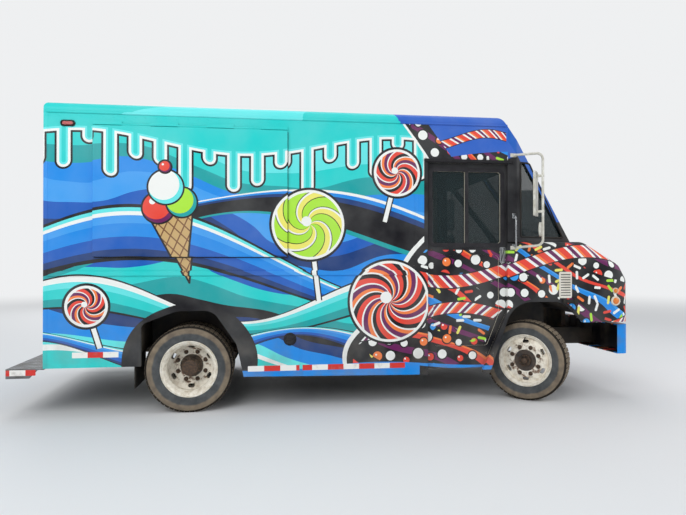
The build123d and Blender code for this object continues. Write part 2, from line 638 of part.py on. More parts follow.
chassis += both_sides(block((RAIL_X[1], FRONT_END - BUMPER_T), arm_y, (RAIL_LOW_Z + 10, SILL_Z - 10)))
frame_back = BODY_REAR + WALL + 5
step_arm = sharp([
    (RAIL_X[0], RAIL_LOW_Z), (RAIL_X[0] + 120, RAIL_LOW_Z), (RAIL_X[0] + 120, STEP_LOW + 48),
    (REAR_END + 254, STEP_LOW + 3), (REAR_END + 54, STEP_LOW + 3),
    (REAR_END + 54, STEP_TOP - TREAD_T), (frame_back, STEP_TOP - TREAD_T),
])
chassis += both_sides(along_y(step_arm, arm_y))
pivot_side = PIVOT_Y + EAR_W / 2 + SEAT_GAP
pivot_post_x = (NOSE_FRONT - 182, NOSE_FRONT - 122)
pivot_y = (-pivot_side - 20, -pivot_side)
pivot_arm = block((pivot_post_x[0], NOSE_PIVOT_X), pivot_y, about(NOSE_PIVOT_Z, 2 * PIVOT_R))
pivot_arm += rod((NOSE_PIVOT_X, pivot_y[0], NOSE_PIVOT_Z), (NOSE_PIVOT_X, pivot_y[1], NOSE_PIVOT_Z), PIVOT_R)
pivot_arm += block(pivot_post_x, pivot_y, (CROSS_LOW_Z, NOSE_PIVOT_Z))
pivot_arm += block(pivot_post_x, (-RAIL_WEB, -pivot_side), (CROSS_LOW_Z, SILL_Z - RAIL_T))
chassis += both_sides(pivot_arm)
save("chassis_frame", chassis)

# Front bumper: painted channel with closed ends, open to the rear
BUMPER_R = 60
bumper = block(BUMPER_X, (-BUMPER_Y, BUMPER_Y), BUMPER_Z)
bumper = fillet(bumper.faces().sort_by(Axis.X)[-1].edges().filter_by(Axis.Z), BUMPER_R)
hollow_y = (-BUMPER_Y + BUMPER_T, BUMPER_Y - BUMPER_T)
hollow_z = (BUMPER_Z[0] + BUMPER_T, BUMPER_Z[1] - BUMPER_T)
hollow = block((BUMPER_X[0] - 1, BUMPER_X[1] - BUMPER_T), hollow_y, hollow_z)
hollow = fillet(hollow.faces().sort_by(Axis.X)[-1].edges().filter_by(Axis.Z), BUMPER_R - BUMPER_T)
save("front_bumper", bumper - hollow)

# Rear step: tread plate with chamfered side plates
step_drop = (STEP_LOW, STEP_TOP - TREAD_T)
step = block((REAR_END, BODY_REAR), (-STEP_Y, STEP_Y), (STEP_TOP - TREAD_T, STEP_TOP))
step_end = sharp([
    (REAR_END, step_drop[0]), (REAR_END + 194, step_drop[0]),
    (REAR_END + 264, step_drop[1]), (REAR_END, step_drop[1]),
])
step += both_sides(along_y(step_end, (-STEP_Y, -STEP_Y + STEP_PLATE)))
step += block((REAR_END, REAR_END + STEP_PLATE), (-STEP_Y, STEP_Y), step_drop)
save("rear_step", step)


def leaf_spring(x, y, eye_z, seat_z, leaves):
    """Bowed spring pack with eyes, longest leaf on top."""
    pack = Part()
    for i in range(leaves):
        reach = SPRING_HALF * (1 - 0.17 * i)
        drop = (eye_z - seat_z) * (reach / SPRING_HALF) ** 2
        low = seat_z - SPRING_LEAF * i
        under_z = low - SPRING_LEAF
        upper = ThreePointArc((x - reach, low + drop), (x, low), (x + reach, low + drop))
        under = ThreePointArc((x + reach, under_z + drop), (x, under_z), (x - reach, under_z + drop))
        ends = Line(upper @ 1, under @ 0) + Line(under @ 1, upper @ 0)
        pack += along_y(make_face(upper + under + ends), about(y, SPRING_W))
    for eye_x in about(x, 2 * SPRING_HALF):
        pack += rod((eye_x, y - SPRING_W / 2, eye_z), (eye_x, y + SPRING_W / 2, eye_z), EYE_R)
    return pack


BEAM_H = 80
REAR_TUBE_R = 55
FRONT_LEAVES = 4
REAR_LEAVES = 5
front_seat_z = BEAM_DROP_Z + BEAM_H / 2 + FRONT_LEAVES * SPRING_LEAF
rear_seat_z = AXLE_Z + REAR_TUBE_R + REAR_LEAVES * SPRING_LEAF
springs = leaf_spring(FRONT_AXLE_X, -FRONT_SPRING_Y, FRONT_EYE_Z, front_seat_z, FRONT_LEAVES)
springs += leaf_spring(REAR_AXLE_X, -REAR_SPRING_Y, REAR_EYE_Z, rear_seat_z, REAR_LEAVES)
save("leaf_springs", both_sides(springs))

# Front axle: dropped beam with pocketed sides and kingpin bosses
BEAM_HALF = 32
BEAM_WEB = 8
BOSS_R = 34
BOSS_Z = (AXLE_Z - 45, AXLE_Z + 45)
beam_z = about(BEAM_DROP_Z, BEAM_H)
beam = along_x(outline([
    (-KINGPIN_Y, BOSS_Z[0], 0), (-KINGPIN_Y + 75, BOSS_Z[0], 0), (-KINGPIN_Y + 315, beam_z[0], 60),
    (KINGPIN_Y - 315, beam_z[0], 60), (KINGPIN_Y - 75, BOSS_Z[0], 0), (KINGPIN_Y, BOSS_Z[0], 0),
    (KINGPIN_Y, BOSS_Z[1], 0), (KINGPIN_Y - 95, BOSS_Z[1], 0), (KINGPIN_Y - 335, beam_z[1], 60),
    (-KINGPIN_Y + 335, beam_z[1], 60), (-KINGPIN_Y + 95, BOSS_Z[1], 0), (-KINGPIN_Y, BOSS_Z[1], 0),
]), (FRONT_AXLE_X - BEAM_HALF, FRONT_AXLE_X + BEAM_HALF))
pocket_y = (-KINGPIN_Y + 375, KINGPIN_Y - 375)
pocket_z = about(BEAM_DROP_Z, 0.6 * BEAM_H)
beam -= block((FRONT_AXLE_X - BEAM_HALF - 1, FRONT_AXLE_X - BEAM_WEB), pocket_y, pocket_z)
beam -= block((FRONT_AXLE_X + BEAM_WEB, FRONT_AXLE_X + BEAM_HALF + 1), pocket_y, pocket_z)
beam += both_sides(rod((FRONT_AXLE_X, -KINGPIN_Y, BOSS_Z[0]), (FRONT_AXLE_X, -KINGPIN_Y, BOSS_Z[1]), BOSS_R))
save("front_axle", beam)

# Engine and gearbox as plain blocks, and the radiator ahead of them
ENGINE_X = (FRONT_AXLE_X - 178, FRONT_AXLE_X + 522)
ENGINE_Y = 270
ENGINE_Z = (500, 1110)
GEARBOX_X = (ENGINE_X[0] - 350, ENGINE_X[0])
GEARBOX_Y = 150
GEARBOX_Z = (430, 690)
ENGINE_MOUNT_X = (FRONT_AXLE_X + 122, FRONT_AXLE_X + 182)
ENGINE_MOUNT_Z = (560, 600)
RADIATOR_TOP = 1300
engine = block(ENGINE_X, (-ENGINE_Y, ENGINE_Y), ENGINE_Z)
engine += block(GEARBOX_X, (-GEARBOX_Y, GEARBOX_Y), GEARBOX_Z)
engine += both_sides(block(ENGINE_MOUNT_X, (-RAIL_WEB, -ENGINE_Y), ENGINE_MOUNT_Z))
radiator_z = (SILL_Z - RAIL_T, RADIATOR_TOP)
engine += block((RADIATOR_X, RADIATOR_X + CROSS_W), (-TUNNEL_Y, TUNNEL_Y), radiator_z)
save("engine", engine)

# Rear axle: round housing, tubes, backing plates, spring seats and drive shaft
DRUM_R = 178
BACKING_T = 15
SHAFT_R = 40
SHAFT_FRONT_Z = 540
REAR_PLATE_Y = DUAL_Y[1] - TYRE_WIDTH / 2
plate_in = (REAR_AXLE_X, -REAR_PLATE_Y + BACKING_T, AXLE_Z)
axle = both_sides(rod((REAR_AXLE_X, 0, AXLE_Z), plate_in, REAR_TUBE_R))
axle += both_sides(rod(plate_in, (REAR_AXLE_X, -REAR_PLATE_Y, AXLE_Z), DRUM_R))
housing = [(-120, 0), (-120, 50), (-70, 140), (70, 140), (120, 80), (230, 62), (230, 0)]
axle += Pos(REAR_AXLE_X, 0, AXLE_Z) * revolve(sharp(housing), Axis.X)
spring_foot_z = (AXLE_Z, rear_seat_z - REAR_LEAVES * SPRING_LEAF)
axle += both_sides(block(about(REAR_AXLE_X, 120), about(-REAR_SPRING_Y, 80), spring_foot_z))
shaft = rod((REAR_AXLE_X + 200, 0, AXLE_Z), (GEARBOX_X[0] + 20, 0, SHAFT_FRONT_Z), SHAFT_R)
axle += shaft & block((REAR_AXLE_X, GEARBOX_X[0]), FAR, (0, ROOF_TOP))
save("rear_axle", axle)

# Engine cover inside the cab
COVER_T = 30
COVER_Y = TUNNEL_Y + 40
COVER_R = 70
COVER_X = (CAB_X + 4, firewall_x[0])
cover = block(COVER_X, (-COVER_Y, COVER_Y), (FLOOR_Z, TUNNEL_TOP))
cover = fillet(cover.edges().filter_by(Axis.X).sort_by(Axis.Z)[-2:], COVER_R)
cover_space_x = (COVER_X[0] + COVER_T, COVER_X[1] + 1)
cover_space = block(cover_space_x, (-TUNNEL_Y, TUNNEL_Y), (FLOOR_Z - 1, TUNNEL_TOP - COVER_T))
cover -= fillet(cover_space.edges().filter_by(Axis.X).sort_by(Axis.Z)[-2:], COVER_R - COVER_T)
save("engine_cover", cover)

# Dashboard with the steering column
DASH_Y = INSIDE - 60
DASH_Z = (1180, 1500)
COLUMN_LEAN = 35         # degrees from upright
COLUMN_R = 28
BRACE_R = 18
WHEEL_AT = Vector(CAB_X - 136, 560, 1330)
dash_face = sharp([
    (firewall_x[0], DASH_Z[0]), (firewall_x[0], DASH_Z[1]), (COWL_X - 145, DASH_Z[1]),
    (COWL_X - 245, DASH_Z[1] - 110), (COWL_X - 205, DASH_Z[0]),
])
dash = along_y(dash_face, (-DASH_Y, DASH_Y))
column_dir = Vector(sin(radians(COLUMN_LEAN)), 0, -cos(radians(COLUMN_LEAN)))
column_top = WHEEL_AT + column_dir * 40
column_end = WHEEL_AT + column_dir * ((WHEEL_AT.Z - FLOOR_Z) / -column_dir.Z + 40)
column = rod(tuple(column_top), tuple(column_end), COLUMN_R)
dash += column & block((0, COWL_X), FAR, (FLOOR_Z, ROOF_TOP))
brace_at = WHEEL_AT + column_dir * 330
dash += rod(tuple(brace_at), (COWL_X - 195, WHEEL_AT.Y, DASH_Z[0] + 50), BRACE_R)
save("dash", dash)

# Steering wheel: rim, spokes and hub about the column's axis
WHEEL_R = 225
WHEEL_RIM_R = 14
HUB_R = 45
SPOKE_W = 28
SPOKE_T = 10
wheel_plane = Plane(origin=WHEEL_AT, x_dir=(0, 1, 0), z_dir=-column_dir)
steering_wheel = wheel_plane * Torus(WHEEL_R, WHEEL_RIM_R)
hub_low = -40 + SEAT_GAP
hub = Cylinder(HUB_R, SPOKE_T - hub_low, align=(Align.CENTER, Align.CENTER, Align.MIN))
steering_wheel += wheel_plane * (Pos(0, 0, hub_low) * hub)
for turn in (90, 210, 330):
    spoke = Box(WHEEL_R, SPOKE_W, SPOKE_T, align=(Align.MIN, Align.CENTER, Align.CENTER))
    steering_wheel += wheel_plane * (Rot(0, 0, turn) * spoke)
save("steering_wheel", steering_wheel)

# Driver's seat: pedestal, cushion and back
SEAT_X = (CAB_X - 756, CAB_X - 306)
SEAT_Y = (330, 790)
CUSHION_Z = (1070, 1180)
BACK_X = (SEAT_X[0] - 60, SEAT_X[0] + 50)
BACK_Z = (CUSHION_Z[1] - 40, CUSHION_Z[1] + 600)
seat = block((SEAT_X[0] + 60, SEAT_X[1] - 80), (SEAT_Y[0] + 80, SEAT_Y[1] - 80), (FLOOR_Z, CUSHION_Z[0]))
cushion = fillet(block(SEAT_X, SEAT_Y, CUSHION_Z).edges(), 30)
back = fillet(block(BACK_X, SEAT_Y, BACK_Z).edges(), 35)
save("driver_seat", seat + cushion + back)

# Fuel tank on two brackets, and the exhaust, under the body
TANK_X = (REAR_AXLE_X + 680, REAR_AXLE_X + 1320)
TANK_Y = (-(SIDE - 280), -480)
TANK_Z = (330, 600)
TANK_R = 60
BRACKET_W = 40
tank = fillet(block(TANK_X, TANK_Y, TANK_Z).edges().filter_by(Axis.X), TANK_R)
for x in (TANK_X[0] + 80, TANK_X[1] - 80):
    tank += block(about(x, BRACKET_W), (TANK_Y[1] - 80, -RAIL_OUT), (TANK_Z[1] - 10, SILL_Z))
save("fuel_tank", tank)
PIPE_Z = 400
PIPE_R = 30
PIPE_START = (GEARBOX_X[1] - 200, 120)
MUFFLER_X = (REAR_AXLE_X + 780, REAR_AXLE_X + 1400)
MUFFLER_Y = 620
MUFFLER_R = 85
TAIL_X = REAR_AXLE_X + 610
TAIL_R = 28
exhaust = tube([
    (*PIPE_START, PIPE_Z), (PIPE_START[0] - 250, PIPE_START[1], PIPE_Z),
    (PIPE_START[0] - 700, MUFFLER_Y, PIPE_Z), (MUFFLER_X[1], MUFFLER_Y, PIPE_Z),
], PIPE_R, 200)
exhaust += rod((*PIPE_START, PIPE_Z), (*PIPE_START, GEARBOX_Z[0]), PIPE_R)
exhaust += rod((MUFFLER_X[0], MUFFLER_Y, PIPE_Z), (MUFFLER_X[1], MUFFLER_Y, PIPE_Z), MUFFLER_R)
exhaust += tube([
    (MUFFLER_X[0] + 60, MUFFLER_Y, PIPE_Z), (TAIL_X, MUFFLER_Y, PIPE_Z), (TAIL_X, SIDE - 50, PIPE_Z - 100),
], TAIL_R, 100)
exhaust += block(about(sum(MUFFLER_X) / 2, 30), (RAIL_OUT, MUFFLER_Y + 20), (PIPE_Z + 70, PIPE_Z + 110))
save("exhaust", exhaust)

# Mirrors: tubular loop with a flat head on two short arms and a round wide-angle head
LOOP_Z = (COWL_TOP - 34, ROOF_TOP - 395)
LOOP_R = 12
FOOT_T = 8
FOOT = (60, 36)
MIRROR_TURN = 55         # degrees of the head's face from the truck's side
FLAT_HEAD = (178, 19, 428)
FLAT_BACK = 66           # behind the outer bar of the loop
ROUND_R = 68
ROUND_T = 20
ARM_R = 8
loop_root = (POST_X - 38, -SIDE - FOOT_T - 2)
loop_tip = (POST_X + 184, -SIDE - 170)
root_z = (COWL_TOP - SHOULDER_R - FOOT[1] / 2, LOOP_Z[1])
loop = tube([
    (*loop_root, root_z[0]), (*loop_tip, LOOP_Z[0]), (*loop_tip, LOOP_Z[1]), (*loop_root, root_z[1]),
], LOOP_R, 60)
for z in root_z:
    loop += block(about(loop_root[0], FOOT[0]), (-SIDE - FOOT_T, -SIDE), about(z, FOOT[1]))


def behind_bar(back, z):
    """Point behind the loop's outer bar, square to the face of the heads."""
    turn = radians(MIRROR_TURN)
    return (loop_tip[0] - back * sin(turn), loop_tip[1] + back * cos(turn), z)


flat_z = LOOP_Z[1] - 389
round_z = LOOP_Z[0] + 150
flat_head = fillet(Box(*FLAT_HEAD).edges().filter_by(Axis.Y), 20)
loop += Pos(*behind_bar(FLAT_BACK, flat_z)) * Rot(0, 0, MIRROR_TURN) * flat_head
for z in about(flat_z, 0.8 * FLAT_HEAD[2]):
    loop += rod((*loop_tip, z), behind_bar(FLAT_BACK, z), ARM_R)
round_head = Rot(90, 0, 0) * Cylinder(ROUND_R, ROUND_T)
loop += Pos(*behind_bar(ROUND_T, round_z)) * Rot(0, 0, MIRROR_TURN) * round_head
save("mirrors", both_sides(loop))

# Lamps on the body: rear clusters, side markers and roof corner lamps
TAIL_Z = (700, 830, 960)
TAIL_Y = SIDE - 140
TAIL_LAMP_R = 52
LAMP_T = 16
MARKER_X = BODY_REAR + 204
body_lamps = Part()
for z in TAIL_Z:
    body_lamps += rod((BODY_REAR, -TAIL_Y, z), (BODY_REAR - LAMP_T, -TAIL_Y, z), TAIL_LAMP_R)
side_marker = Pos(MARKER_X, ROOF_TOP - 211) * SlotOverall(126, 55)
body_lamps += along_y(side_marker, (-SIDE - LAMP_T, -SIDE))
top_lamp = Pos(-SIDE + 100, ROOF_TOP - 190) * SlotOverall(110, 46)
body_lamps += along_x(top_lamp, (BODY_REAR - LAMP_T, BODY_REAR))
save("body_lamps", both_sides(body_lamps))

# Mud flaps behind the rear wheels, on a bar from the rails
FLAP_X = REAR_AXLE_X - 480
FLAP_T = 8
FLAP_Z = (230, SILL_Z)
FLAP_BAR = (20, 40)
flap = block((FLAP_X, FLAP_X + FLAP_T), (-INSIDE + 10, -REAR_LINER_Y - 20), FLAP_Z)
flap += block((FLAP_X, FLAP_X + FLAP_BAR[0]), (-INSIDE + 140, -RAIL_OUT), (SILL_Z - FLAP_BAR[1], SILL_Z))
save("mud_flaps", both_sides(flap))

# Tyres: flat steps about the axle, from ring to ring round the closed section
TYRE_STEPS = 48
TYRE_HALF = TYRE_WIDTH / 2
TYRE_SIDE = [   # radius and offset from the middle: tread edge, shoulder, side wall and bead
    (TYRE_R, TYRE_HALF - 26), (TYRE_R - 16, TYRE_HALF - 9), (TYRE_R - 52, TYRE_HALF), (RIM_R, TYRE_HALF - 30),
]
TYRE_RINGS = TYRE_SIDE + [(r, -v) for r, v in reversed(TYRE_SIDE)]


def tyre(y, x):
    """Tyre about an axle line, with a flat of the tread on the ground."""
    def corner(ring, step):
        r, v = TYRE_RINGS[ring % len(TYRE_RINGS)]
        turn = 2 * pi * (step + 0.5) / TYRE_STEPS
        reach = r / cos(pi / TYRE_STEPS)
        return (x + reach * sin(turn), y + v, AXLE_Z - reach * cos(turn))

    faces = []
    for ring in range(len(TYRE_RINGS)):
        for step in range(TYRE_STEPS):
            loop = [corner(ring, step), corner(ring, step + 1), corner(ring + 1, step + 1), corner(ring + 1, step)]
            faces.append(Face(Wire.make_polygon(loop)))
    return Part() + Solid(Shell(faces))


# Rims and discs: sections are (radius, offset from the wheel's middle)
RIM_HALF = 86
WELL_R = 207             # drop centre
RIM_SECTION = [
    (RIM_R, -RIM_HALF), (RIM_R, RIM_HALF), (244, RIM_HALF), (227, 70),
    (WELL_R, 26), (WELL_R, -26), (227, -70), (244, -RIM_HALF),
]
HAND_HOLES = 6
HAND_HOLE = (62, 34)     # along and across the rim
HAND_HOLE_AT = 186


def turned(section, y, x):
    """Solid of revolution about the axle line through X = x."""
    return Pos(x, y, AXLE_Z) * revolve(sharp(section), Axis.Y)


def hand_holes(x, y, near, far):
    """Cutters for the holes round a wheel disc."""
    hole = along_y(Pos(0, HAND_HOLE_AT) * SlotOverall(*HAND_HOLE), (near, far))
    cuts = Part()
    for i in range(HAND_HOLES):
        cuts += Rot(0, 360 * i / HAND_HOLES, 0) * hole
    return Pos(x, y, AXLE_Z) * cuts


KNUCKLE_FACE_Y = KINGPIN_Y + 55


def front_wheel():
    """Rim with its disc near the outer face, hub and brake drum, pointing ahead."""
    x = FRONT_AXLE_X
    y = -FRONT_TRACK_Y
    drum_face = -KNUCKLE_FACE_Y - SEAT_GAP - y
    disc = turned([(0, -76), (150, -76), (218, -40), (218, -26), (150, -62), (0, -62)], y, x)
    disc -= hand_holes(x, y, -90, -20)
    hub = turned([(0, -108), (50, -108), (58, -100), (62, -76), (62, -62), (0, -62)], y, x)
    drum = turned([(0, -62), (120, -62), (DRUM_R - 10, -30), (DRUM_R - 10, drum_face), (0, drum_face)], y, x)
    return turned(RIM_SECTION, y, x) + disc + hub + drum


def rear_wheel():
    """Twin rims whose discs meet between them, hub and brake drum."""
    x = REAR_AXLE_X
    middle = -(DUAL_Y[0] + DUAL_Y[1]) / 2
    outer = -DUAL_Y[0] - middle
    drum_face = -REAR_PLATE_Y - SEAT_GAP - middle
    dish = [(0, -12), (150, -12), (228, outer + 60), (228, outer + 74), (158, 0), (0, 0)]
    disc = turned(dish, middle, x) + turned([(u, -v) for u, v in dish], middle, x)
    disc -= hand_holes(x, middle, -80, 80)
    hub = turned([(0, -150), (52, -150), (62, -138), (78, -60), (100, -40), (104, -12), (0, -12)], middle, x)
    drum = turned([(0, 10), (120, 10), (DRUM_R, 40), (DRUM_R, drum_face), (0, drum_face)], middle, x)
    rims = turned(RIM_SECTION, -DUAL_Y[0], x) + turned(RIM_SECTION, -DUAL_Y[1], x)
    return rims + disc + hub + drum


# Front knuckles: yoke round the kingpin boss, backing plate and steering arm
YOKE_T = 24
YOKE_R = BOSS_R + 6
YOKE_Z = (BOSS_Z[0] - YOKE_T, BOSS_Z[1] + YOKE_T)
ARM_HALF = 18
ROD_R = 15


def knuckle():
    """Right-hand knuckle, pointing ahead."""
    x = FRONT_AXLE_X
    y = -KINGPIN_Y
    face = -KNUCKLE_FACE_Y
    body = Part()
    for z in ((YOKE_Z[0], BOSS_Z[0] - SEAT_GAP), (BOSS_Z[1] + SEAT_GAP, YOKE_Z[1])):
        body += rod((x, y, z[0]), (x, y, z[1]), YOKE_R)
        body += block(about(x, 2 * YOKE_R), (face + 12, y), z)
    body += block(about(x, 92), (face + 6, face + 16), YOKE_Z)
    body += rod((x, face + 6, AXLE_Z), (x, face, AXLE_Z), DRUM_R - 10)
    arm_z = (YOKE_Z[0], BOSS_Z[0] - SEAT_GAP)
    body += block((x - STEER_ARM, x), about(y, 2 * ARM_HALF), arm_z)
    body += rod((x - STEER_ARM, y, arm_z[0]), (x - STEER_ARM, y, arm_z[1]), ARM_HALF)
    return body


def steered(shape, side):
    """The shape turned about the kingpin of one side, as it is parked."""
    pin = Pos(FRONT_AXLE_X, side * KINGPIN_Y, 0)
    return pin * Rot(0, 0, -REST_STEER) * pin.inverse() * shape


straight = {
    "knuckle": knuckle(),
    "rim_front": front_wheel(),
    "tyre_front": tyre(-FRONT_TRACK_Y, FRONT_AXLE_X),
}
for name, shape in straight.items():
    save(name + "_right", steered(shape, -1))
    save(name + "_left", steered(mirror(shape, Plane.XZ), 1))
twin_tyres = tyre(-DUAL_Y[0], REAR_AXLE_X) + tyre(-DUAL_Y[1], REAR_AXLE_X)
for name, shape in {"rim_rear": rear_wheel(), "tyres_rear": twin_tyres}.items():
    save(name + "_right", shape)
    save(name + "_left", mirror(shape, Plane.XZ))

# Tie rod between the two steering arms, carried along as they turn together
rod_x = FRONT_AXLE_X - STEER_ARM * cos(radians(REST_STEER))
rod_shift = STEER_ARM * sin(radians(REST_STEER))
rod_z = YOKE_Z[0] - SEAT_GAP - ROD_R - 6
rod_ends = (rod_shift - KINGPIN_Y, rod_shift + KINGPIN_Y)
tie_rod = rod((rod_x, rod_ends[0], rod_z), (rod_x, rod_ends[1], rod_z), ROD_R)
for y in rod_ends:
    tie_rod += rod((rod_x, y, rod_z - ROD_R - 4), (rod_x, y, YOKE_Z[0] - SEAT_GAP), ARM_HALF + 2)
save("tie_rod", tie_rod)
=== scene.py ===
import json
from functools import partialmethod
from math import atan2, cos, hypot, pi, radians, sin

import bmesh
import bpy
from mathutils import Matrix, Vector

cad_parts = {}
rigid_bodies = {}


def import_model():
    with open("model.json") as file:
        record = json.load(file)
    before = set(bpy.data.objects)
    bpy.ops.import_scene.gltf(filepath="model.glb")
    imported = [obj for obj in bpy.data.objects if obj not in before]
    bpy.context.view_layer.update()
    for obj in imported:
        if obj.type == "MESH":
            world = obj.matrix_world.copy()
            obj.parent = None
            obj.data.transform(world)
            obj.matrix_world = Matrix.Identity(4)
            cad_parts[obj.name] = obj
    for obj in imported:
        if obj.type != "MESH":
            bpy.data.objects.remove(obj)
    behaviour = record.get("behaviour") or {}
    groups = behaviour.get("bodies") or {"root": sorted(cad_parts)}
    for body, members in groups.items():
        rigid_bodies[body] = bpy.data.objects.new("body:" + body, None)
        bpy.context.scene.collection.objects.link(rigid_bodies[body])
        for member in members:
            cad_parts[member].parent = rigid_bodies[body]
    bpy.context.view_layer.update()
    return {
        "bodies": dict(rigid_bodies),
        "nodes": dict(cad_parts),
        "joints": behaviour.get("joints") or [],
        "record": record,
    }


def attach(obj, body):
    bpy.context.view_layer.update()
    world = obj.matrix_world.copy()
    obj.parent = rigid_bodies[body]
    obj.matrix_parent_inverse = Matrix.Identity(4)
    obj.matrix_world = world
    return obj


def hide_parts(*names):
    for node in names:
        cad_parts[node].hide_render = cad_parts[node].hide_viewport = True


# Ice cream truck: a walk-in van with a painted body, a serving hatch, a
# tilting nose, steered front wheels and twin rear wheels, standing on its
# tyres. The frame holds the solids, and this script gives them their finish.
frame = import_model()

# Studio: a pale floor that fades into the backdrop, soft lamps at a plain
# level, and the camera at the photographer's place, 5.3 m from the side.
bpy.ops.object.select_all(action="DESELECT")
scene = bpy.context.scene
scene.view_settings.view_transform = "Standard"
BACKDROP = (0.86, 0.87, 0.88, 1)


def add(tree, kind, inputs=None, **settings):
    """One shader node; each input is a value or a socket to link."""
    made = tree.nodes.new(kind)
    for key, value in settings.items():
        setattr(made, key, value)
    for key, value in (inputs or {}).items():
        if isinstance(value, bpy.types.NodeSocket):
            tree.links.new(value, made.inputs[key])
        else:
            made.inputs[key].default_value = value
    return made


world = bpy.data.worlds.new("studio")
scene.world = world
world.use_nodes = True
sky = world.node_tree
sky.nodes.clear()
path = add(sky, "ShaderNodeLightPath")
seen = add(sky, "ShaderNodeMath", {0: path.outputs["Is Camera Ray"], 1: path.outputs["Is Transmission Ray"]},
           operation="MAXIMUM")
light = add(sky, "ShaderNodeBackground", {"Color": (0.93, 0.96, 1.0, 1), "Strength": 0.42})
shown = add(sky, "ShaderNodeBackground", {"Color": BACKDROP, "Strength": 1.0})
both = add(sky, "ShaderNodeMixShader", {0: seen.outputs[0], 1: light.outputs[0], 2: shown.outputs[0]})
add(sky, "ShaderNodeOutputWorld", {"Surface": both.outputs[0]})

FLOOR_HALF = 60
bpy.ops.mesh.primitive_plane_add(size=2 * FLOOR_HALF, location=(0, 0, 0))
floor_plane = bpy.context.object
floor_plane.name = "studio_floor"
floor_paint = bpy.data.materials.new("studio_floor")
floor_paint.use_nodes = True
tree = floor_paint.node_tree
tree.nodes.clear()
spot = add(tree, "ShaderNodeTexCoord").outputs["Object"]
flat = add(tree, "ShaderNodeMapping", {0: spot, "Scale": (0.1, 0.1, 0)})
reach = add(tree, "ShaderNodeVectorMath", {0: flat.outputs[0]}, operation="LENGTH").outputs["Value"]
fade = add(tree, "ShaderNodeMapRange", {0: reach, 1: 0.6, 2: 2.2}, interpolation_type="SMOOTHSTEP").outputs[0]
matt = add(tree, "ShaderNodeBsdfDiffuse", {"Color": (0.80, 0.81, 0.82, 1)})
far = add(tree, "ShaderNodeEmission", {"Color": BACKDROP, "Strength": 1.0})
mixed = add(tree, "ShaderNodeMixShader", {0: fade, 1: matt.outputs[0], 2: far.outputs[0]})
add(tree, "ShaderNodeOutputMaterial", {"Surface": mixed.outputs[0]})
floor_plane.data.materials.append(floor_paint)

# Lamps: name, size, power, place, aim
for name, size, power, at, aim in (
    ("key", 9.0, 880, (-6.0, -11.0, 8.5), (0, 0, 1.2)),
    ("front", 6.0, 320, (10.0, -5.0, 6.0), (1.5, 0, 1.2)),
    ("top", 9.0, 380, (0, 2.0, 11.0), (0, 0, 1.0)),
    ("back", 7.0, 330, (-4.0, 11.0, 6.5), (0, 0, 1.2)),
):
    lamp = bpy.data.lights.new(name, "AREA")
    lamp.size, lamp.energy = size, power
    lamp_at = bpy.data.objects.new(name, lamp)
    lamp_at.location = at
    lamp_at.rotation_euler = (Vector(aim) - Vector(at)).to_track_quat("-Z", "Y").to_euler()
    scene.collection.objects.link(lamp_at)

view = bpy.data.cameras.new("camera")
view.sensor_width, view.lens = 36, 30.17
camera = bpy.data.objects.new("camera", view)
camera.location = (-0.710, -6.524, 1.384)
camera.rotation_euler = (radians(90 + 0.33), 0, radians(-7.69))
scene.collection.objects.link(camera)
scene.camera = camera


# Body paint: enamel over aluminium sheet. The sides carry a hand-painted
# design of icing, ribbons, cones, lollipops and sprinkles, and every other
# panel is in plain colours, with road dust near its foot.
def material(name, metallic=0.0, roughness=0.5, coat=0.0, coat_roughness=0.05, specular=0.4):
    """New material with its shader's own constants; returns it, its tree and its shader."""
    made = bpy.data.materials.new(name)
    made.use_nodes = True
    shader = made.node_tree.nodes["Principled BSDF"]
    for key, value in (("Metallic", metallic), ("Roughness", roughness), ("Coat Weight", coat),
                       ("Coat Roughness", coat_roughness), ("Specular IOR Level", specular)):
        shader.inputs[key].default_value = value
    return made, made.node_tree, shader


def screen_colour(code):
    """Linear colour from a screen colour code."""
    parts = [int(code[i:i + 2], 16) / 255 for i in (0, 2, 4)]
    return tuple(p / 12.92 if p <= 0.04045 else ((p + 0.055) / 1.055) ** 2.4 for p in parts) + (1,)


class Field:
    """A number that varies over a surface; arithmetic on it adds shader nodes."""

    def __init__(self, tree, socket):
        self.tree = tree
        self.socket = socket

    def math(self, operation, *others):
        terms = [f.socket if isinstance(f, Field) else f for f in (self, *others)]
        made = add(self.tree, "ShaderNodeMath", dict(enumerate(terms)), operation=operation)
        return Field(self.tree, made.outputs[0])

    __add__, __sub__ = partialmethod(math, "ADD"), partialmethod(math, "SUBTRACT")
    __mul__, __truediv__ = partialmethod(math, "MULTIPLY"), partialmethod(math, "DIVIDE")
    __lt__, __gt__ = partialmethod(math, "LESS_THAN"), partialmethod(math, "GREATER_THAN")
    size = partialmethod(math, "ABSOLUTE")

    def within(self, low, high):
        return (self > low) * (self < high)


def length(a, b):
    """Distance whose two legs are the fields a and b."""
    return (a * a + b * b).math("SQRT")


def place(tree):
    """The three fields X, Y and Z of the surface, and its place as a socket."""
    at = add(tree, "ShaderNodeTexCoord").outputs["Object"]
    split = add(tree, "ShaderNodeSeparateXYZ", {0: at})
    return [Field(tree, socket) for socket in split.outputs], at


def noise(tree, at, scale, detail=3.0, roughness=0.5):
    """Soft cloudy field, mostly between 0.3 and 0.7."""
    made = add(tree, "ShaderNodeTexNoise", {"Vector": at, "Scale": scale, "Detail": detail, "Roughness": roughness})
    return Field(tree, made.outputs["Fac"])


def stretched(tree, at, scale):
    """A place as a socket, with each axis at its own scale."""
    return add(tree, "ShaderNodeMapping", {0: at, "Scale": scale}).outputs[0]


def ranged(field, low, high, to_low=0.0, to_high=1.0):
    """The field carried from one range to another and held at its ends."""
    made = add(field.tree, "ShaderNodeMapRange", {0: field.socket, 1: low, 2: high, 3: to_low, 4: to_high})
    return Field(field.tree, made.outputs[0])


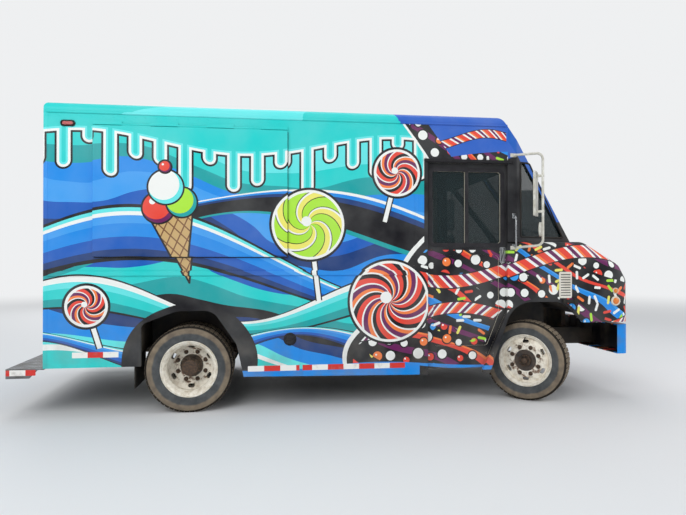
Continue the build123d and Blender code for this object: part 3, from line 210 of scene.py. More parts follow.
def mix(mask, under, over):
    """Colour over where mask is 1, under where it is 0; a colour can be given by its code."""
    under, over = [screen_colour(tone) if isinstance(tone, str) else tone for tone in (under, over)]
    return add(mask.tree, "ShaderNodeMix", {0: mask.socket, 6: under, 7: over}, data_type="RGBA").outputs[2]


def bands(field, stops):
    """Flat colours along a field from 0 to 1, each from its own stop on."""
    made = add(field.tree, "ShaderNodeValToRGB", {0: field.socket})
    ramp = made.color_ramp
    ramp.interpolation = "CONSTANT"
    while len(ramp.elements) < len(stops):
        ramp.elements.new(0.5)
    for element, (position, colour) in zip(ramp.elements, stops):
        element.position, element.color = position, colour
    return made.outputs[0]


def tinted(tree, shader, colour, roughness=None):
    """Lead a colour into the shader, and a field of roughness where it varies."""
    tree.links.new(colour, shader.inputs["Base Color"])
    if roughness:
        tree.links.new(roughness.socket, shader.inputs["Roughness"])


def bump(tree, shader, height, strength, distance):
    """Fine relief from a field of heights."""
    made = add(tree, "ShaderNodeBump", {"Height": height.socket, "Strength": strength, "Distance": distance})
    tree.links.new(made.outputs[0], shader.inputs["Normal"])


AQUA, TURQUOISE, TEAL = map(screen_colour, ("62E6E6", "22D2CE", "0CA2A4"))
SKY, BLUE, DEEP, NAVY, ROYAL = map(screen_colour, ("3D9FEE", "128CE6", "0B5CBC", "123A78", "2A62C4"))
INK, WHITE, CREAM, ROAD_DUST = map(screen_colour, ("141319", "F2F4F0", "E4DCC6", "6F675C"))
PLUM, RED, ORANGE, LIME, YELLOW = map(screen_colour, ("6A1B5A", "EA4636", "FA8240", "AEE93A", "F2EA6E"))
TAN, BROWN = map(screen_colour, ("C9A76E", "7C5230"))


class Painting:
    """Layers of flat colour over each other, placed by length u and height v."""

    def __init__(self, tree):
        self.tree = tree
        (x, y, z), self.at = place(tree)
        self.depth = y.size()
        self.u = x + x.math("SIGN") * (self.depth * -1.0 + 1.18)
        self.v = z
        self.colour = TURQUOISE

    def cover(self, mask, colour):
        self.colour = mix(mask, self.colour, colour)

    def turned(self, u, v, angle):
        """Offset from (u, v) in a frame that leans by an angle: across it and down it."""
        du, dv = self.u - u, self.v - v
        return du * cos(angle) + dv * sin(angle), du * sin(angle) - dv * cos(angle)

    def wave(self, height, speed, phase, lean=0.0):
        """Sine wave along the side, leaning with height."""
        return (self.u * speed + phase + self.v * lean).math("SINE") * height

    def ribbon(self, line, half, stops):
        """Brush stroke about a line; its stops run across it from its foot to its top."""
        across = (self.v - line) / half * 0.5 + 0.5
        self.cover(across.within(0.0, 1.0), bands(across, stops))

    def cane(self, line, half, pitch, slant, colours, inside):
        """Striped ribbon with slanting stripes and a dark outline."""
        across = (self.v - line) / half
        mask = (across.size() < 1.0) * inside
        self.cover(mask, INK)
        stripe = ((self.u + across * slant) / pitch).math("FRACT")
        self.cover(mask * (across.size() < 0.84), bands(stripe, colours))

    def lollipop(self, u, v, radius, arms, twist, stops, stick=None):
        """Swirled disc with a dark and a white rim, on a stick that leans by an angle."""
        du, dv = self.u - u, self.v - v
        far = length(du, dv)
        if stick is not None:
            across, along = self.turned(u, v, stick)
            below = along.within(0.0, radius * 2.3)
            self.cover(below * (across.size() < 0.032), INK)
            self.cover(below * (across.size() < 0.020), WHITE)
        turn = dv.math("ARCTAN2", du) * (arms / (2 * pi)) + far * (twist / radius)
        self.cover(far < radius + 0.036, INK)
        self.cover(far < radius + 0.014, WHITE)
        self.cover(far < radius - 0.010, bands(turn.math("FRACT"), stops))
        self.cover(length(du + radius * 0.1, dv - radius * 0.1) < radius * 0.15, WHITE)

    def ball(self, u, v, radius, colour, shade):
        """Scoop with a dark outline, a shaded foot and a bright spot."""
        du, dv = self.u - u, self.v - v
        far = length(du, dv)
        self.cover(far < radius + 0.016, INK)
        self.cover(far < radius, shade)
        self.cover((far < radius) * (length(du + radius * 0.14, dv - radius * 0.16) < radius * 0.93), colour)
        self.cover(length(du + radius * 0.38, dv - radius * 0.42) < radius * 0.2, WHITE)

    def cone(self, u, v, height, half, lean, scoops):
        """Wafer cone with its rim at (u, v), lattice lines, and scoops in its own frame."""
        across, along = self.turned(u, v, lean)
        side = along * (-half / height) + half
        for grow, colour in ((0.018, INK), (0.0, TAN)):
            inside = along.within(-grow, height + 2 * grow) * (across.size() < side + grow)
            self.cover(inside, colour)
        for slope in (1.0, -1.0):
            line = ((across * slope + along * 0.7) * 11.0).math("FRACT")
            self.cover(inside * (line < 0.16), BROWN)
        for right, up, radius, colour, shade in scoops:
            self.ball(u + right * cos(lean) - up * sin(lean), v + right * sin(lean) + up * cos(lean),
                      radius, colour, shade)

    def icing(self, line, pitch, finger, longest, colours, inside):
        """Icing that runs down in round-ended fingers; colours run outwards to its dark edge."""
        cell = self.u / pitch
        middle = (cell.math("FRACT") - 0.5) * pitch
        drop = ((cell.math("FLOOR") * 2.4).math("SINE") * 0.5 + 0.5) * longest + 0.04
        low = self.v - line + drop
        for grow, colour in colours:
            half = finger + grow
            round_end = (middle * middle * -1.0 + half * half).math("MAXIMUM", 0.0).math("SQRT")
            hang = (middle.size() < half) * (low + round_end > 0.0)
            self.cover((hang.math("MAXIMUM", self.v - line > -grow)) * inside, colour)

    def scattered(self, pitch, seed, loose):
        """Offset in metres from the nearest of many scattered points, and its random numbers."""
        spot = add(self.tree, "ShaderNodeCombineXYZ", {0: (self.u / pitch + seed).socket,
                                                       1: (self.v / pitch + seed).socket}).outputs[0]
        cell = add(self.tree, "ShaderNodeTexVoronoi", {"Vector": spot, "Scale": 1.0, "Randomness": loose},
                   voronoi_dimensions="2D").outputs
        gap = add(self.tree, "ShaderNodeVectorMath", {0: spot, 1: cell["Position"]}, operation="SUBTRACT").outputs[0]
        du, dv, pick, spin = [Field(self.tree, part) for whole in (gap, cell["Color"])
                              for part in list(add(self.tree, "ShaderNodeSeparateXYZ", {0: whole}).outputs)[:2]]
        return du * pitch, dv * pitch, pick, spin

    def sprinkles(self, mask, pitch, seed, half, thick, stops, kept=0.8):
        """Scattered rods with round ends, each at its own angle."""
        du, dv, pick, spin = self.scattered(pitch, seed, 0.7)
        turn = spin * (2 * pi)
        c, s = turn.math("COSINE"), turn.math("SINE")
        along = ((du * c + dv * s).size() - half).math("MAXIMUM", 0.0)
        rod = (length(along, dv * c - du * s) < thick) * (pick < kept) * mask
        self.cover(rod, bands(pick / kept, stops))

    def gumdrops(self, mask, pitch, seed, radius, stops):
        """Scattered round sweets with a dark edge and a bright spot."""
        du, dv, pick, size = self.scattered(pitch, seed, 0.45)
        reach = size * (radius * 0.5) + radius * 0.7
        far = length(du, dv)
        self.cover((far < reach + 0.012) * mask, INK)
        self.cover((far < reach) * mask, bands(pick, stops))
        self.cover((length(du + radius * 0.3, dv - radius * 0.32) < radius * 0.22) * mask, WHITE)


SWOOP_BLUE = [(0.0, INK), (0.07, NAVY), (0.2, DEEP), (0.42, BLUE), (0.66, SKY), (0.8, WHITE), (0.87, AQUA), (0.94, INK)]
SWOOP_TEAL = [(0.0, INK), (0.06, TEAL), (0.3, TURQUOISE), (0.6, AQUA), (0.78, WHITE), (0.95, INK)]
SWOOP_DARK = [(0.0, TEAL), (0.1, INK), (0.72, NAVY), (0.84, BLUE), (0.93, WHITE)]
GROUND = [
    (0.00, INK), (0.11, DEEP), (0.15, TURQUOISE), (0.20, WHITE), (0.215, AQUA), (0.25, BLUE), (0.30, NAVY),
    (0.335, INK), (0.37, TEAL), (0.41, TURQUOISE), (0.45, DEEP), (0.50, BLUE), (0.56, NAVY), (0.60, DEEP),
    (0.64, SKY), (0.69, BLUE), (0.73, TEAL), (0.78, TURQUOISE), (0.83, AQUA), (0.90, TURQUOISE), (0.95, TEAL),
]
DARK_GROUND = [
    (0.00, INK), (0.14, PLUM), (0.2, INK), (0.3, RED), (0.345, ORANGE), (0.365, INK), (0.5, PLUM), (0.56, INK),
    (0.66, BLUE), (0.70, SKY), (0.715, INK), (0.82, RED), (0.86, INK),
]
CANE = [(0.0, RED), (0.34, WHITE), (0.5, PLUM), (0.72, WHITE), (0.86, ORANGE)]
CANDY = [(0.0, RED), (0.25, WHITE), (0.33, PLUM), (0.55, ORANGE), (0.72, WHITE), (0.8, INK)]
LIMES = [(0.0, LIME), (0.36, INK), (0.41, YELLOW), (0.7, WHITE), (0.8, INK), (0.84, LIME)]
SUGAR = [(0.0, WHITE), (0.3, RED), (0.44, YELLOW), (0.58, WHITE), (0.74, ORANGE), (0.88, LIME)]
GUMS = [(0.0, WHITE), (0.45, RED), (0.62, WHITE), (0.78, ORANGE), (0.9, SKY)]
SCOOPS = [   # to the right of the rim's middle and above it, radius, colour, shade
    (-0.10, 0.06, 0.135, RED, PLUM), (0.11, 0.07, 0.13, LIME, TEAL), (0.0, 0.23, 0.15, WHITE, AQUA),
    (0.03, 0.41, 0.05, RED, PLUM),
]
ARCHES = ((-1.37, 0.47, 0.60, 0.54), (1.99, 0.50, 0.50, 0.53))     # middle, half length and half height


def side_design(tree):
    """The whole design, as one colour in X and Z."""
    art = Painting(tree)
    drift = noise(tree, stretched(tree, art.at, (0.5, 0.0, 0.9)), 1.6, 1.0)
    field = art.v + art.wave(0.20, 1.35, 0.9, 0.4) + art.wave(0.085, 3.3, 0.2, 1.7) + drift * 0.55
    art.colour = bands(field / 3.25, GROUND)

    # Swoops across the rear and middle of the side, from the highest down
    for tall, speed, phase, rise, swell, pace, start_at, half, stops in (
        (0.30, 1.15, 2.3, 1.62, 0.07, 1.9, 0.6, 0.15, SWOOP_DARK),
        (0.36, 1.25, 3.9, 1.28, 0.08, 1.3, 4.0, 0.17, SWOOP_BLUE),
        (0.17, 2.1, 0.3, 0.94, 0.05, 2.6, 1.0, 0.11, SWOOP_TEAL),
        (0.13, 2.6, 2.6, 0.60, 0.035, 3.1, 0.0, 0.075, SWOOP_BLUE),
    ):
        art.ribbon(art.wave(tall, speed, phase) + rise, art.wave(swell, pace, start_at) + half, stops)

    # Icing that runs down from the roof
    icing = ((0.018, INK), (0.0, WHITE), (-0.022, AQUA), (-0.040, TURQUOISE))
    art.icing(art.wave(0.10, 2.2, 0.4) + 2.44, 0.215, 0.058, 0.30, icing, art.u < 0.86)

    # Dark ground with sweets from the middle of the side to the nose
    edge = art.u + art.wave(0.42, 0.9, 0.4, 1.9) + art.wave(0.10, 2.1, 0.0, 4.3)
    art.cover(edge > 0.50, WHITE)
    art.cover(edge > 0.54, INK)
    front = edge > 0.60
    lean = (art.u * 0.55 + art.v + art.wave(0.10, 2.4, 1.0, 0.9) + drift * 0.5).math("FRACT")
    art.cover(front, bands(lean, DARK_GROUND))
    art.gumdrops(front * (lean < 0.55), 0.150, 3.1, 0.042, GUMS)
    art.sprinkles(front * (lean > 0.45), 0.105, 1.7, 0.030, 0.013, SUGAR)

    # The top of the hood has its sprinkles laid out in plan
    (x, y, z), _ = place(tree)
    side_frame, plan_frame = (art.u, art.v), (y, x)
    hood = (x > 2.44) * (art.depth < 1.0) * (z > 1.17)
    art.cover(hood, INK)
    art.u, art.v = plan_frame
    art.sprinkles(hood, 0.115, 5.2, 0.032, 0.014, SUGAR, 0.9)
    art.u, art.v = side_frame

    art.cane(art.wave(0.15, 2.3, 2.2) + 1.33, 0.072, 0.20, 0.07, CANE, front)
    art.cane(art.wave(0.13, 2.7, 4.6) + 0.80, 0.062, 0.17, -0.06, CANE, front)

    # Royal blue under the eaves of the cab, with a striped ribbon
    high = (art.v + art.wave(0.09, 2.0, 1.3) > 2.36) * (edge > 0.9)
    art.cover(high, ROYAL)
    art.cane(art.wave(0.07, 5.2, 0.4) + 2.55, 0.045, 0.13, 0.05, CANE, high * (art.u < 1.62))

    art.lollipop(-0.30, 1.72, 0.31, 5, 1.6, LIMES, 0.12)
    art.lollipop(0.46, 1.00, 0.37, 6, -1.5, CANDY)
    art.lollipop(0.53, 2.22, 0.21, 4, 1.3, CANDY, -0.25)
    art.lollipop(-2.28, 0.98, 0.17, 4, -1.2, CANDY, 0.3)
    art.cone(-1.52, 1.82, 0.62, 0.19, 0.2, SCOOPS)

    # One large sweet on the middle of the hood
    art.u, art.v = plan_frame
    art.lollipop(0.0, 2.640, 0.195, 5, 1.4, CANDY)
    art.u, art.v = side_frame

    # Black round the wheel arches, and blue and black along the skirts
    for u, v, half, rise in ARCHES:
        art.cover(length((art.u - u) / half, (art.v - v) / rise) < art.wave(0.02, 9.0, 0.0) + 1.0, INK)
    art.cover(art.v < art.wave(0.03, 3.0, 0.5) + 0.40, BLUE)
    art.cover((art.v < art.wave(0.04, 3.0, 0.5) + 0.37) * (art.u > 0.75), INK)
    return art


def facing_out(tree, at):
    """1 on faces that look away from the middle of the truck, in the object's own frame."""
    normal = add(tree, "ShaderNodeTexCoord").outputs["Normal"]
    outwards = add(tree, "ShaderNodeVectorMath", {0: at, 1: (0, 0, 1.4)}, operation="SUBTRACT").outputs[0]
    lean = add(tree, "ShaderNodeVectorMath", {0: outwards, 1: normal}, operation="DOT_PRODUCT").outputs["Value"]
    return Field(tree, lean) > 0.0


def enamel(name, paint, grime=0.5):
    """Enamel on sheet: paint(tree) gives the colour of the outside, and the inside is plain."""
    made, tree, shader = material(name, coat=0.03, coat_roughness=0.12, specular=0.18)
    (x, y, z), at = place(tree)
    edge = (y.size() > 1.1415) + (x < -2.606)      # the outer skin, whichever way it faces
    outside = (facing_out(tree, at) + edge).math("MINIMUM", 1.0)
    colour = mix(outside, mix(x > 1.62, CREAM, INK), paint(tree))
    dust = ranged(z, 1.05, 0.3, 0.0, grime) * ranged(noise(tree, at, 5.0, 6.0), 0.42, 0.75)
    fading = ranged(noise(tree, at, 2.6, 4.0), 0.3, 0.7, 0.0, 0.07)
    tinted(tree, shader, mix(fading, mix(dust, colour, ROAD_DUST), WHITE),
           ranged(noise(tree, at, 3.0, 4.0), 0.0, 1.0, 0.30, 0.48))
    bump(tree, shader, noise(tree, at, 2.2, 2.0) * 6.0 + noise(tree, at, 140, 2.0) * 0.06, 0.25, 0.002)
    return made


def side_colours(tree):
    """The design, with near-black round the cab doors and on the engine's side of the cowl."""
    art = side_design(tree)
    art.cover(art.u.within(0.795, 1.70) * art.v.within(1.49, 2.36), INK)
    art.cover((art.depth < 1.10) * art.u.within(2.2, 2.46) * (art.v < 1.545), INK)
    return art.colour


def corner_colours(tree):
    """Cab front: royal cap, near-black corner posts and slim blue screen pillars."""
    (x, y, z), _ = place(tree)
    ahead = (x - 2.440) + (z - 1.569) * 0.7136
    colour = mix(z > ((x - 1.7) * 0.30 + 2.40), INK, ROYAL)
    colour = mix((ahead > -0.10) * (z > 1.78), colour, DEEP)
    return mix(z < 1.62, colour, INK)


def roof_colours(tree):
    """Turquoise roof with a painted highlight of lighter aqua along its rolled edge, broken by streaks, and royal over
    the cab.
    """
    (x, y, z), at = place(tree)
    rim = (y.size() > 1.09) * (z < 2.80)
    sheen_streak_and_wave = noise(tree, stretched(tree, at, (0.6, 3.0, 1.0)), 1.0, 0.0)
    # The aqua on the rolled edge is a painted highlight, with turquoise streaks through it. The same streaks also wave
    # the edge of the royal.
    colour = mix(rim * (sheen_streak_and_wave > 0.55), mix(rim, TURQUOISE, AQUA), TURQUOISE)
    return mix(x + sheen_streak_and_wave * 0.6 > 0.95, colour, ROYAL)


def dress(made, *nodes):
    """Give CAD nodes one material."""
    for name in nodes:
        slots = frame["nodes"][name].data.materials
        slots.clear()
        slots.append(made)


side_paint = enamel("side_paint", side_colours)
roof_paint = enamel("roof_paint", roof_colours, grime=0.0)
cab_paint = enamel("cab_paint", corner_colours, grime=0.0)
dress(side_paint, "wall_right", "wall_left", "rear_frame", "hatch", "door_right", "door_left", "cowl", "nose_shell",
      "rear_door_right", "rear_door_left")
dress(roof_paint, "roof")
dress(cab_paint, "cab_front")

# Seams, drip rail and rivets of the body: strips of sheet over the joints,
# a rolled drip moulding at the foot of the roof, and rows of domed rivets.
SIDE, REAR = 1.180, -2.641      # outer faces of the walls and of the rear frame
RIGHT, BACK, AHEAD = (0, -1, 0), (-1, 0, 0), (1, 0, 0)


def two_tones(first, second=None):
    """Two colours from their codes; the second is a darker first when none is given."""
    first = screen_colour(first)
    return first, screen_colour(second) if second else (*[part * 0.72 for part in first[:3]], 1)


def plain(name, colour, second=None, metallic=0.0, roughness=0.5, patch=8.0, grain=60.0, depth=0.0003, coat=0.0):
    """Painted, plated or moulded surface with uneven tone, wear and fine grain."""
    made, tree, shader = material(name, metallic=metallic, roughness=roughness, coat=coat)
    (x, y, z), at = place(tree)
    tone = ranged(noise(tree, at, patch, 6.0, 0.6), 0.35, 0.7)
    worn = ranged(noise(tree, at, patch * 2, 4.0), 0.0, 1.0, roughness - 0.08, roughness + 0.12)
    tinted(tree, shader, mix(tone, *two_tones(colour, second)), worn)
    bump(tree, shader, noise(tree, at, grain, 4.0), 0.5, depth)
    return made


def start(made=None):
    """Object mode with nothing selected, or with one piece selected and active."""
    if bpy.context.object and bpy.context.object.mode != "OBJECT":
        bpy.ops.object.mode_set(mode="OBJECT")
    bpy.ops.object.select_all(action="DESELECT")
    if made is not None:
        made.select_set(True)
        bpy.context.view_layer.objects.active = made


def select_mesh():
    """Everything in the mesh that is being edited."""
    bpy.ops.mesh.select_all(action="SELECT")


def drawn(points):
    """Edges from point to point, drawn by extruding one vertex; left in edit mode, all selected."""
    start()
    bpy.ops.mesh.primitive_plane_add(size=1, enter_editmode=True, location=(0, 0, 0))
    bpy.ops.mesh.merge(type="CENTER")
    bpy.ops.transform.translate(value=points[0])
    for a, b in zip(points, points[1:]):
        bpy.ops.mesh.extrude_vertices_move(TRANSFORM_OT_translate={"value": Vector(b) - Vector(a)})
    select_mesh()


def closed(threshold=1e-5):
    """Merge what meets and turn the faces outwards."""
    select_mesh()
    bpy.ops.mesh.remove_doubles(threshold=threshold)
    bpy.ops.mesh.normals_make_consistent(inside=False)
    bpy.ops.object.mode_set(mode="OBJECT")
    return bpy.context.object


def filled(corners, rounding=0.0, segments=5):
    """Flat face drawn by its corners, which can be rounded; left in edit mode, all selected."""
    drawn(corners)
    bpy.ops.mesh.edge_face_add()
    if rounding:
        bpy.ops.mesh.bevel(offset=rounding, segments=segments, affect="VERTICES")
        select_mesh()


def look(out):
    """Turn the faces of a flat sheet towards out."""
    face = next(iter(bmesh.from_edit_mesh(bpy.context.object.data).faces))
    face.normal_update()
    if face.normal.dot(Vector(out)) < 0:
        bpy.ops.mesh.flip_normals()


def lifted(height):
    """Extrude the selected faces along their normals."""
    bpy.ops.mesh.extrude_region_shrink_fatten(TRANSFORM_OT_shrink_fatten={"value": height})


def raised(corners, out, moves, rounding=0.0, segments=5):
    """Plate drawn by its corners, then built up: each move is an inset and a lift towards out."""
    filled(corners, rounding, segments)
    look(out)
    for inset, lift in moves:
        if inset:
            bpy.ops.mesh.inset(thickness=inset, depth=0.0)
        if lift:
            lifted(lift)
    return closed()


def slab(low, high, edge, segments=2):
    """Block between two corners with bevelled edges."""
    start()
    low, high = Vector(low), Vector(high)
    bpy.ops.mesh.primitive_cube_add(size=1, location=(low + high) / 2, scale=high - low)
    bpy.ops.object.transform_apply(location=True, rotation=True, scale=True)
    bpy.ops.object.mode_set(mode="EDIT")
    select_mesh()
    bpy.ops.mesh.bevel(offset=edge, segments=segments, affect="EDGES")
    return closed()


def spun(profile, axis=RIGHT, at=(0, 0, 0), steps=32):
    """Turned piece: (distance along the axis, radius) points spun about the axis through at."""
    axis = Vector(axis).normalized()
    away = axis.orthogonal().normalized()
    drawn([Vector(at) + axis * along + away * radius for along, radius in profile])
    bpy.ops.mesh.spin(steps=steps, angle=2 * pi, center=at, axis=axis)
    return closed()


def bar(points, radius, bend=0.0, sides=3):
    """Round bar along runs with rounded corners, its ends capped unless they meet."""
    drawn(points)
    bpy.ops.mesh.remove_doubles(threshold=1e-6)
    if bend:
        bpy.ops.mesh.bevel(offset=bend, segments=5, affect="VERTICES")
    start(bpy.context.object)
    bpy.ops.object.convert(target="CURVE")
    curve = bpy.context.object.data
    curve.bevel_depth, curve.bevel_resolution, curve.use_fill_caps = radius, sides, True
    bpy.ops.object.convert(target="MESH")
    bpy.ops.object.mode_set(mode="EDIT")
    return closed()


def moved(made, matrix):
    """The piece carried by a matrix, with its place kept in its mesh."""
    start(made)
    made.matrix_world = matrix
    bpy.ops.object.transform_apply(location=True, rotation=True, scale=True)
    return made


def joined(*pieces):
    """All the pieces made into the first one."""
    start()
    for piece in pieces:
        piece.select_set(True)
    bpy.context.view_layer.objects.active = pieces[0]
    if len(pieces) > 1:
        bpy.ops.object.join()
    return bpy.context.object


def copied(made, matrix=None):
    """Another piece with its own mesh, carried by a matrix."""
    twin = made.copy()
    twin.data = made.data.copy()
    scene.collection.objects.link(twin)
    return moved(twin, matrix) if matrix else twin


def spread(made, places):
    """One small piece copied to many places, given as points or matrices, and joined."""
    twins = []
    for spot in places:
        twin = copied(made)
        twin.matrix_world = spot if isinstance(spot, Matrix) else Matrix.Translation(spot)
        twins.append(twin)
    bpy.data.objects.remove(made)
    whole = joined(*twins)
    return moved(whole, whole.matrix_world.copy())


def modified(made, kind, **settings):
    """The piece with one modifier set and applied."""
    start(made)
    modifier = made.modifiers.new(kind.lower(), kind)
    for key, value in settings.items():
        setattr(modifier, key, value)
    bpy.ops.object.modifier_apply(modifier=modifier.name)
    return made


def both_sides(*pieces):
    """The pieces joined, with their mirror image on the other side of the truck."""
    return modified(joined(*pieces), "MIRROR", use_axis=(False, True, False), use_mirror_merge=False)


def finished(made, name, slot, finish, *nodes, body="truck_body", smooth=35):
    """Name, finish and body of a piece, and the CAD nodes it stands for, which are hidden. The slot is not used."""
    start(made)
    bpy.ops.object.shade_smooth_by_angle(angle=radians(smooth))
    made.name = made.data.name = name
    made.data.materials.clear()
    made.data.materials.append(finish)
    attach(made, body)
    if nodes:
        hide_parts(*nodes)
    return made


def side_plate(x0, x1, z0, z1, y=-SIDE):
    """Corners of an upright plate along X."""
    return [(x0, y, z0), (x1, y, z0), (x1, y, z1), (x0, y, z1)]


# Strips: first and last X, foot and top
SEAMS = ((0.700, 0.730, 1.50, 2.70), (-0.395, -0.367, 0.33, 1.24), (REAR + 0.004, REAR + 0.036, 0.445, 2.70))
seams = [slab((x0, -SIDE - 0.0016, z0), (x1, -SIDE + 0.004, z1), 0.0007) for x0, x1, z0, z1 in SEAMS]
finished(both_sides(*seams), "side_seams", "mural_paint", side_paint)
drip = raised(side_plate(REAR + 0.02, 1.63, 2.690, 2.712), RIGHT, [(0, 0.008), (0.004, 0.003)])
finished(both_sides(drip), "roof_drip_rail", "roof_paint", roof_paint)
trim_black = plain("trim_black", "19181C", "2C2A2E", roughness=0.45, patch=12)
drip = raised(side_plate(0.795, 1.690, 2.334, 2.362), RIGHT, [(0, 0.014), (0.005, 0.005), (0.003, -0.004)])
finished(both_sides(drip), "door_drip_rail", "mural_paint", trim_black)

RIVET = [(-0.001, 0.0), (-0.001, 0.0052), (0.0006, 0.005), (0.0017, 0.0036), (0.0022, 0.0)]


def rivet_rows(rows, y=-SIDE):
    """Rivet heads along straight rows on a side: first X, Z, last X, Z and pitch."""
    spots = []
    for x0, z0, x1, z1, pitch in rows:
        last = int(hypot(x1 - x0, z1 - z0) / pitch)
        spots += [(x0 + (x1 - x0) * i / last, y, z0 + (z1 - z0) * i / last) for i in range(last + 1)]
    return spread(spun(RIVET, steps=8), spots)


SIDE_ROWS = [
    (0.715, 1.52, 0.715, 2.66, 0.06), (-0.381, 0.36, -0.381, 1.22, 0.06), (-2.621, 0.47, -2.621, 2.66, 0.06),
    (-2.60, 2.665, 1.62, 2.665, 0.09), (-2.58, 1.322, 0.62, 1.322, 0.12), (-2.58, 1.222, 0.62, 1.222, 0.12),
    (-2.56, 0.462, -1.86, 0.462, 0.09), (-0.84, 0.360, 0.78, 0.350, 0.09),
]
POST_ROWS = [(x, 1.60, x, 2.32, 0.055) for x in (1.650, 1.706)]
finished(both_sides(rivet_rows(SIDE_ROWS)), "side_rivets", "mural_paint", side_paint, smooth=60)
finished(both_sides(rivet_rows(POST_ROWS)), "post_rivets", "cab_paint", trim_black, smooth=60)

# Serving hatch: a proud panel that shuts on a moulded rubber seal, which is
# pressed round the opening of the wall and stands just clear of the panel.
# The seal shows past the panel only at its foot and its front edge, as a dark
# line of painted shadow cast by the panel.
rubber = plain("rubber", "201F1E", "39342F", roughness=0.8, patch=9)
# Dark rubber 8 mm past the panel's foot and 6 mm past its front edge. It is a real seal, and also a painted shadow of
# the panel.
seal_and_shadow = raised(side_plate(-2.216, -0.501, 1.411, 2.580), RIGHT, [(0, 0.0045), (0.022, 0.0), (0.0, -0.003)], 0.012)
finished(seal_and_shadow, "hatch_seal_and_shadow", "mural_paint", rubber)


# Side door fittings: a black window frame of sheet riveted to the door, a flush
# latch plate with a finger pull, and a bent steel grab handle on the post.
def ring_frame(corners, out, width, lift, rounding):
    """Flat frame with rounded corners round an opening."""
    filled(corners, rounding, 6)
    bpy.ops.mesh.inset(thickness=width, depth=0.0)
    bpy.ops.mesh.delete(type="FACE")
    select_mesh()
    look(out)
    lifted(lift)
    return closed()


bright_steel = plain("bright_steel", "C4C6C8", "8F9294", metallic=0.9, roughness=0.26, patch=14)
SIDES = ((-1, "right"), (1, "left"))
DOOR_FACE = 1.130
X0, X1, Z0, Z1 = 0.850, 1.618, 1.516, 2.292     # outer edge of the window frame
MIDDLE = (X0 + X1) / 2
FRAME_ROWS = [(x, Z0 + 0.05, x, Z1 - 0.05, 0.062) for x in (X0 + 0.018, X1 - 0.018)]
FRAME_ROWS += [(X0 + 0.06, z, X1 - 0.06, z, 0.07) for z in (Z1 - 0.018, Z0 + 0.018)]
for side, word in SIDES:
    y, out, body = side * DOOR_FACE, (0, side, 0), "side_door_" + word
    window_frame = ring_frame(side_plate(X0, X1, Z0, Z1, y), out, 0.041, 0.0035, 0.06)
    inner, outer = sorted((y - 0.012 * side, y + 0.0035 * side))
    divider = slab((MIDDLE - 0.017, inner, Z0 + 0.03), (MIDDLE + 0.017, outer, Z1 - 0.03), 0.001)
    heads = rivet_rows(FRAME_ROWS, y=-DOOR_FACE - 0.003)
    if side > 0:
        heads = moved(heads, Matrix.Scale(-1, 4, (0, 1, 0)))
        heads.data.flip_normals()
    window_frame = joined(window_frame, divider, heads)
    finished(window_frame, "window_frame_" + word, "mural_paint", trim_black, body=body, smooth=50)
    dish = [(0, 0.0035), (0.007, 0.0), (0.0, -0.002), (0.010, 0.0), (0.0, 0.0025)]
    latch = raised(side_plate(1.572, 1.632, 1.366, 1.517, y), out, dish, 0.010)
    finished(latch, "door_latch_" + word, "axle_iron", bright_steel, body=body, smooth=30)

GRAB_X, GRAB_FOOT, GRAB_TOP = 1.697, 1.520, 1.822
grab = bar([(GRAB_X, -SIDE - out, z) for out, z in ((0.004, GRAB_FOOT), (0.048, GRAB_FOOT), (0.048, GRAB_TOP),
                                                    (0.004, GRAB_TOP))], 0.0095, 0.022)
feet = [slab((GRAB_X - 0.017, -SIDE - 0.006, z - 0.026), (GRAB_X + 0.017, -SIDE + 0.002, z + 0.026), 0.003)
        for z in (GRAB_FOOT, GRAB_TOP)]
finished(both_sides(grab, *feet), "grab_handles", "mirror_paint", bright_steel, smooth=45)

# Glazing rubber round the screen and corner panes, laid over the joint of
# glass and frame, and two wipers with their arms parked on the screen's foot.
CORNER_AT = Vector((1.728, -SIDE, 0))
CORNER_RUN = Vector((0.712, 0.280, 0)).normalized()
CORNER_OUT = Vector((CORNER_RUN.y, -CORNER_RUN.x, 0))
SCREEN_FOOT = Vector((2.440, 0, 1.569))
SCREEN_UP = Vector((1.847 - 2.440, 0, 2.400 - 1.569)).normalized()
SCREEN_OUT = Vector((SCREEN_UP.z, 0, -SCREEN_UP.x))
PROUD = 0.001


def on_corner(run, z):
    """Place on the right-hand corner pane: the way along it, and Z."""
    return CORNER_AT + CORNER_RUN * run + CORNER_OUT * PROUD + Vector((0, 0, z))


def on_screen(y, up, lift=PROUD):
    """Place on the screen: Y, the way up it and the way out of it."""
    return SCREEN_FOOT + SCREEN_UP * up + SCREEN_OUT * lift + Vector((0, y, 0))


beads = []
for corners, bend in (
    ([on_corner(*at) for at in ((0.050, 1.619), (0.652, 1.619), (0.168, 2.350), (0.050, 2.350))], 0.02),
    ([on_screen(*at) for at in ((0.025, 0.050), (0.860, 0.050), (1.075, 0.971), (0.025, 0.971))], 0.04),
):
    beads.append(bar([*corners, corners[0]], 0.008, bend, 2))
finished(both_sides(*beads), "glazing_rubber", "mural_paint", rubber, smooth=60)

wipers = []
PIVOT = [(-0.01, 0.0), (-0.01, 0.020), (0.012, 0.020), (0.018, 0.014), (0.024, 0.0)]
ARM = [(0, 0.020, 0.014), (0.05, 0.12, 0.020), (0.24, 0.178, 0.016)]      # beside the pivot, up, out
BLADE = [(-0.02, 0.115, 0.006), (0.24, 0.178, 0.006), (0.46, 0.236, 0.006)]
for y in (-0.50, 0.42):
    wipers.append(spun(PIVOT, SCREEN_OUT, on_screen(y, 0.020, 0.0), 20))
    for points, bend in ((ARM, 0.01), (BLADE, 0.02)):
        wipers.append(bar([on_screen(y + beside, up, lift) for beside, up, lift in points], 0.006, bend))
finished(joined(*wipers), "wipers", "chassis_black", trim_black, smooth=45)

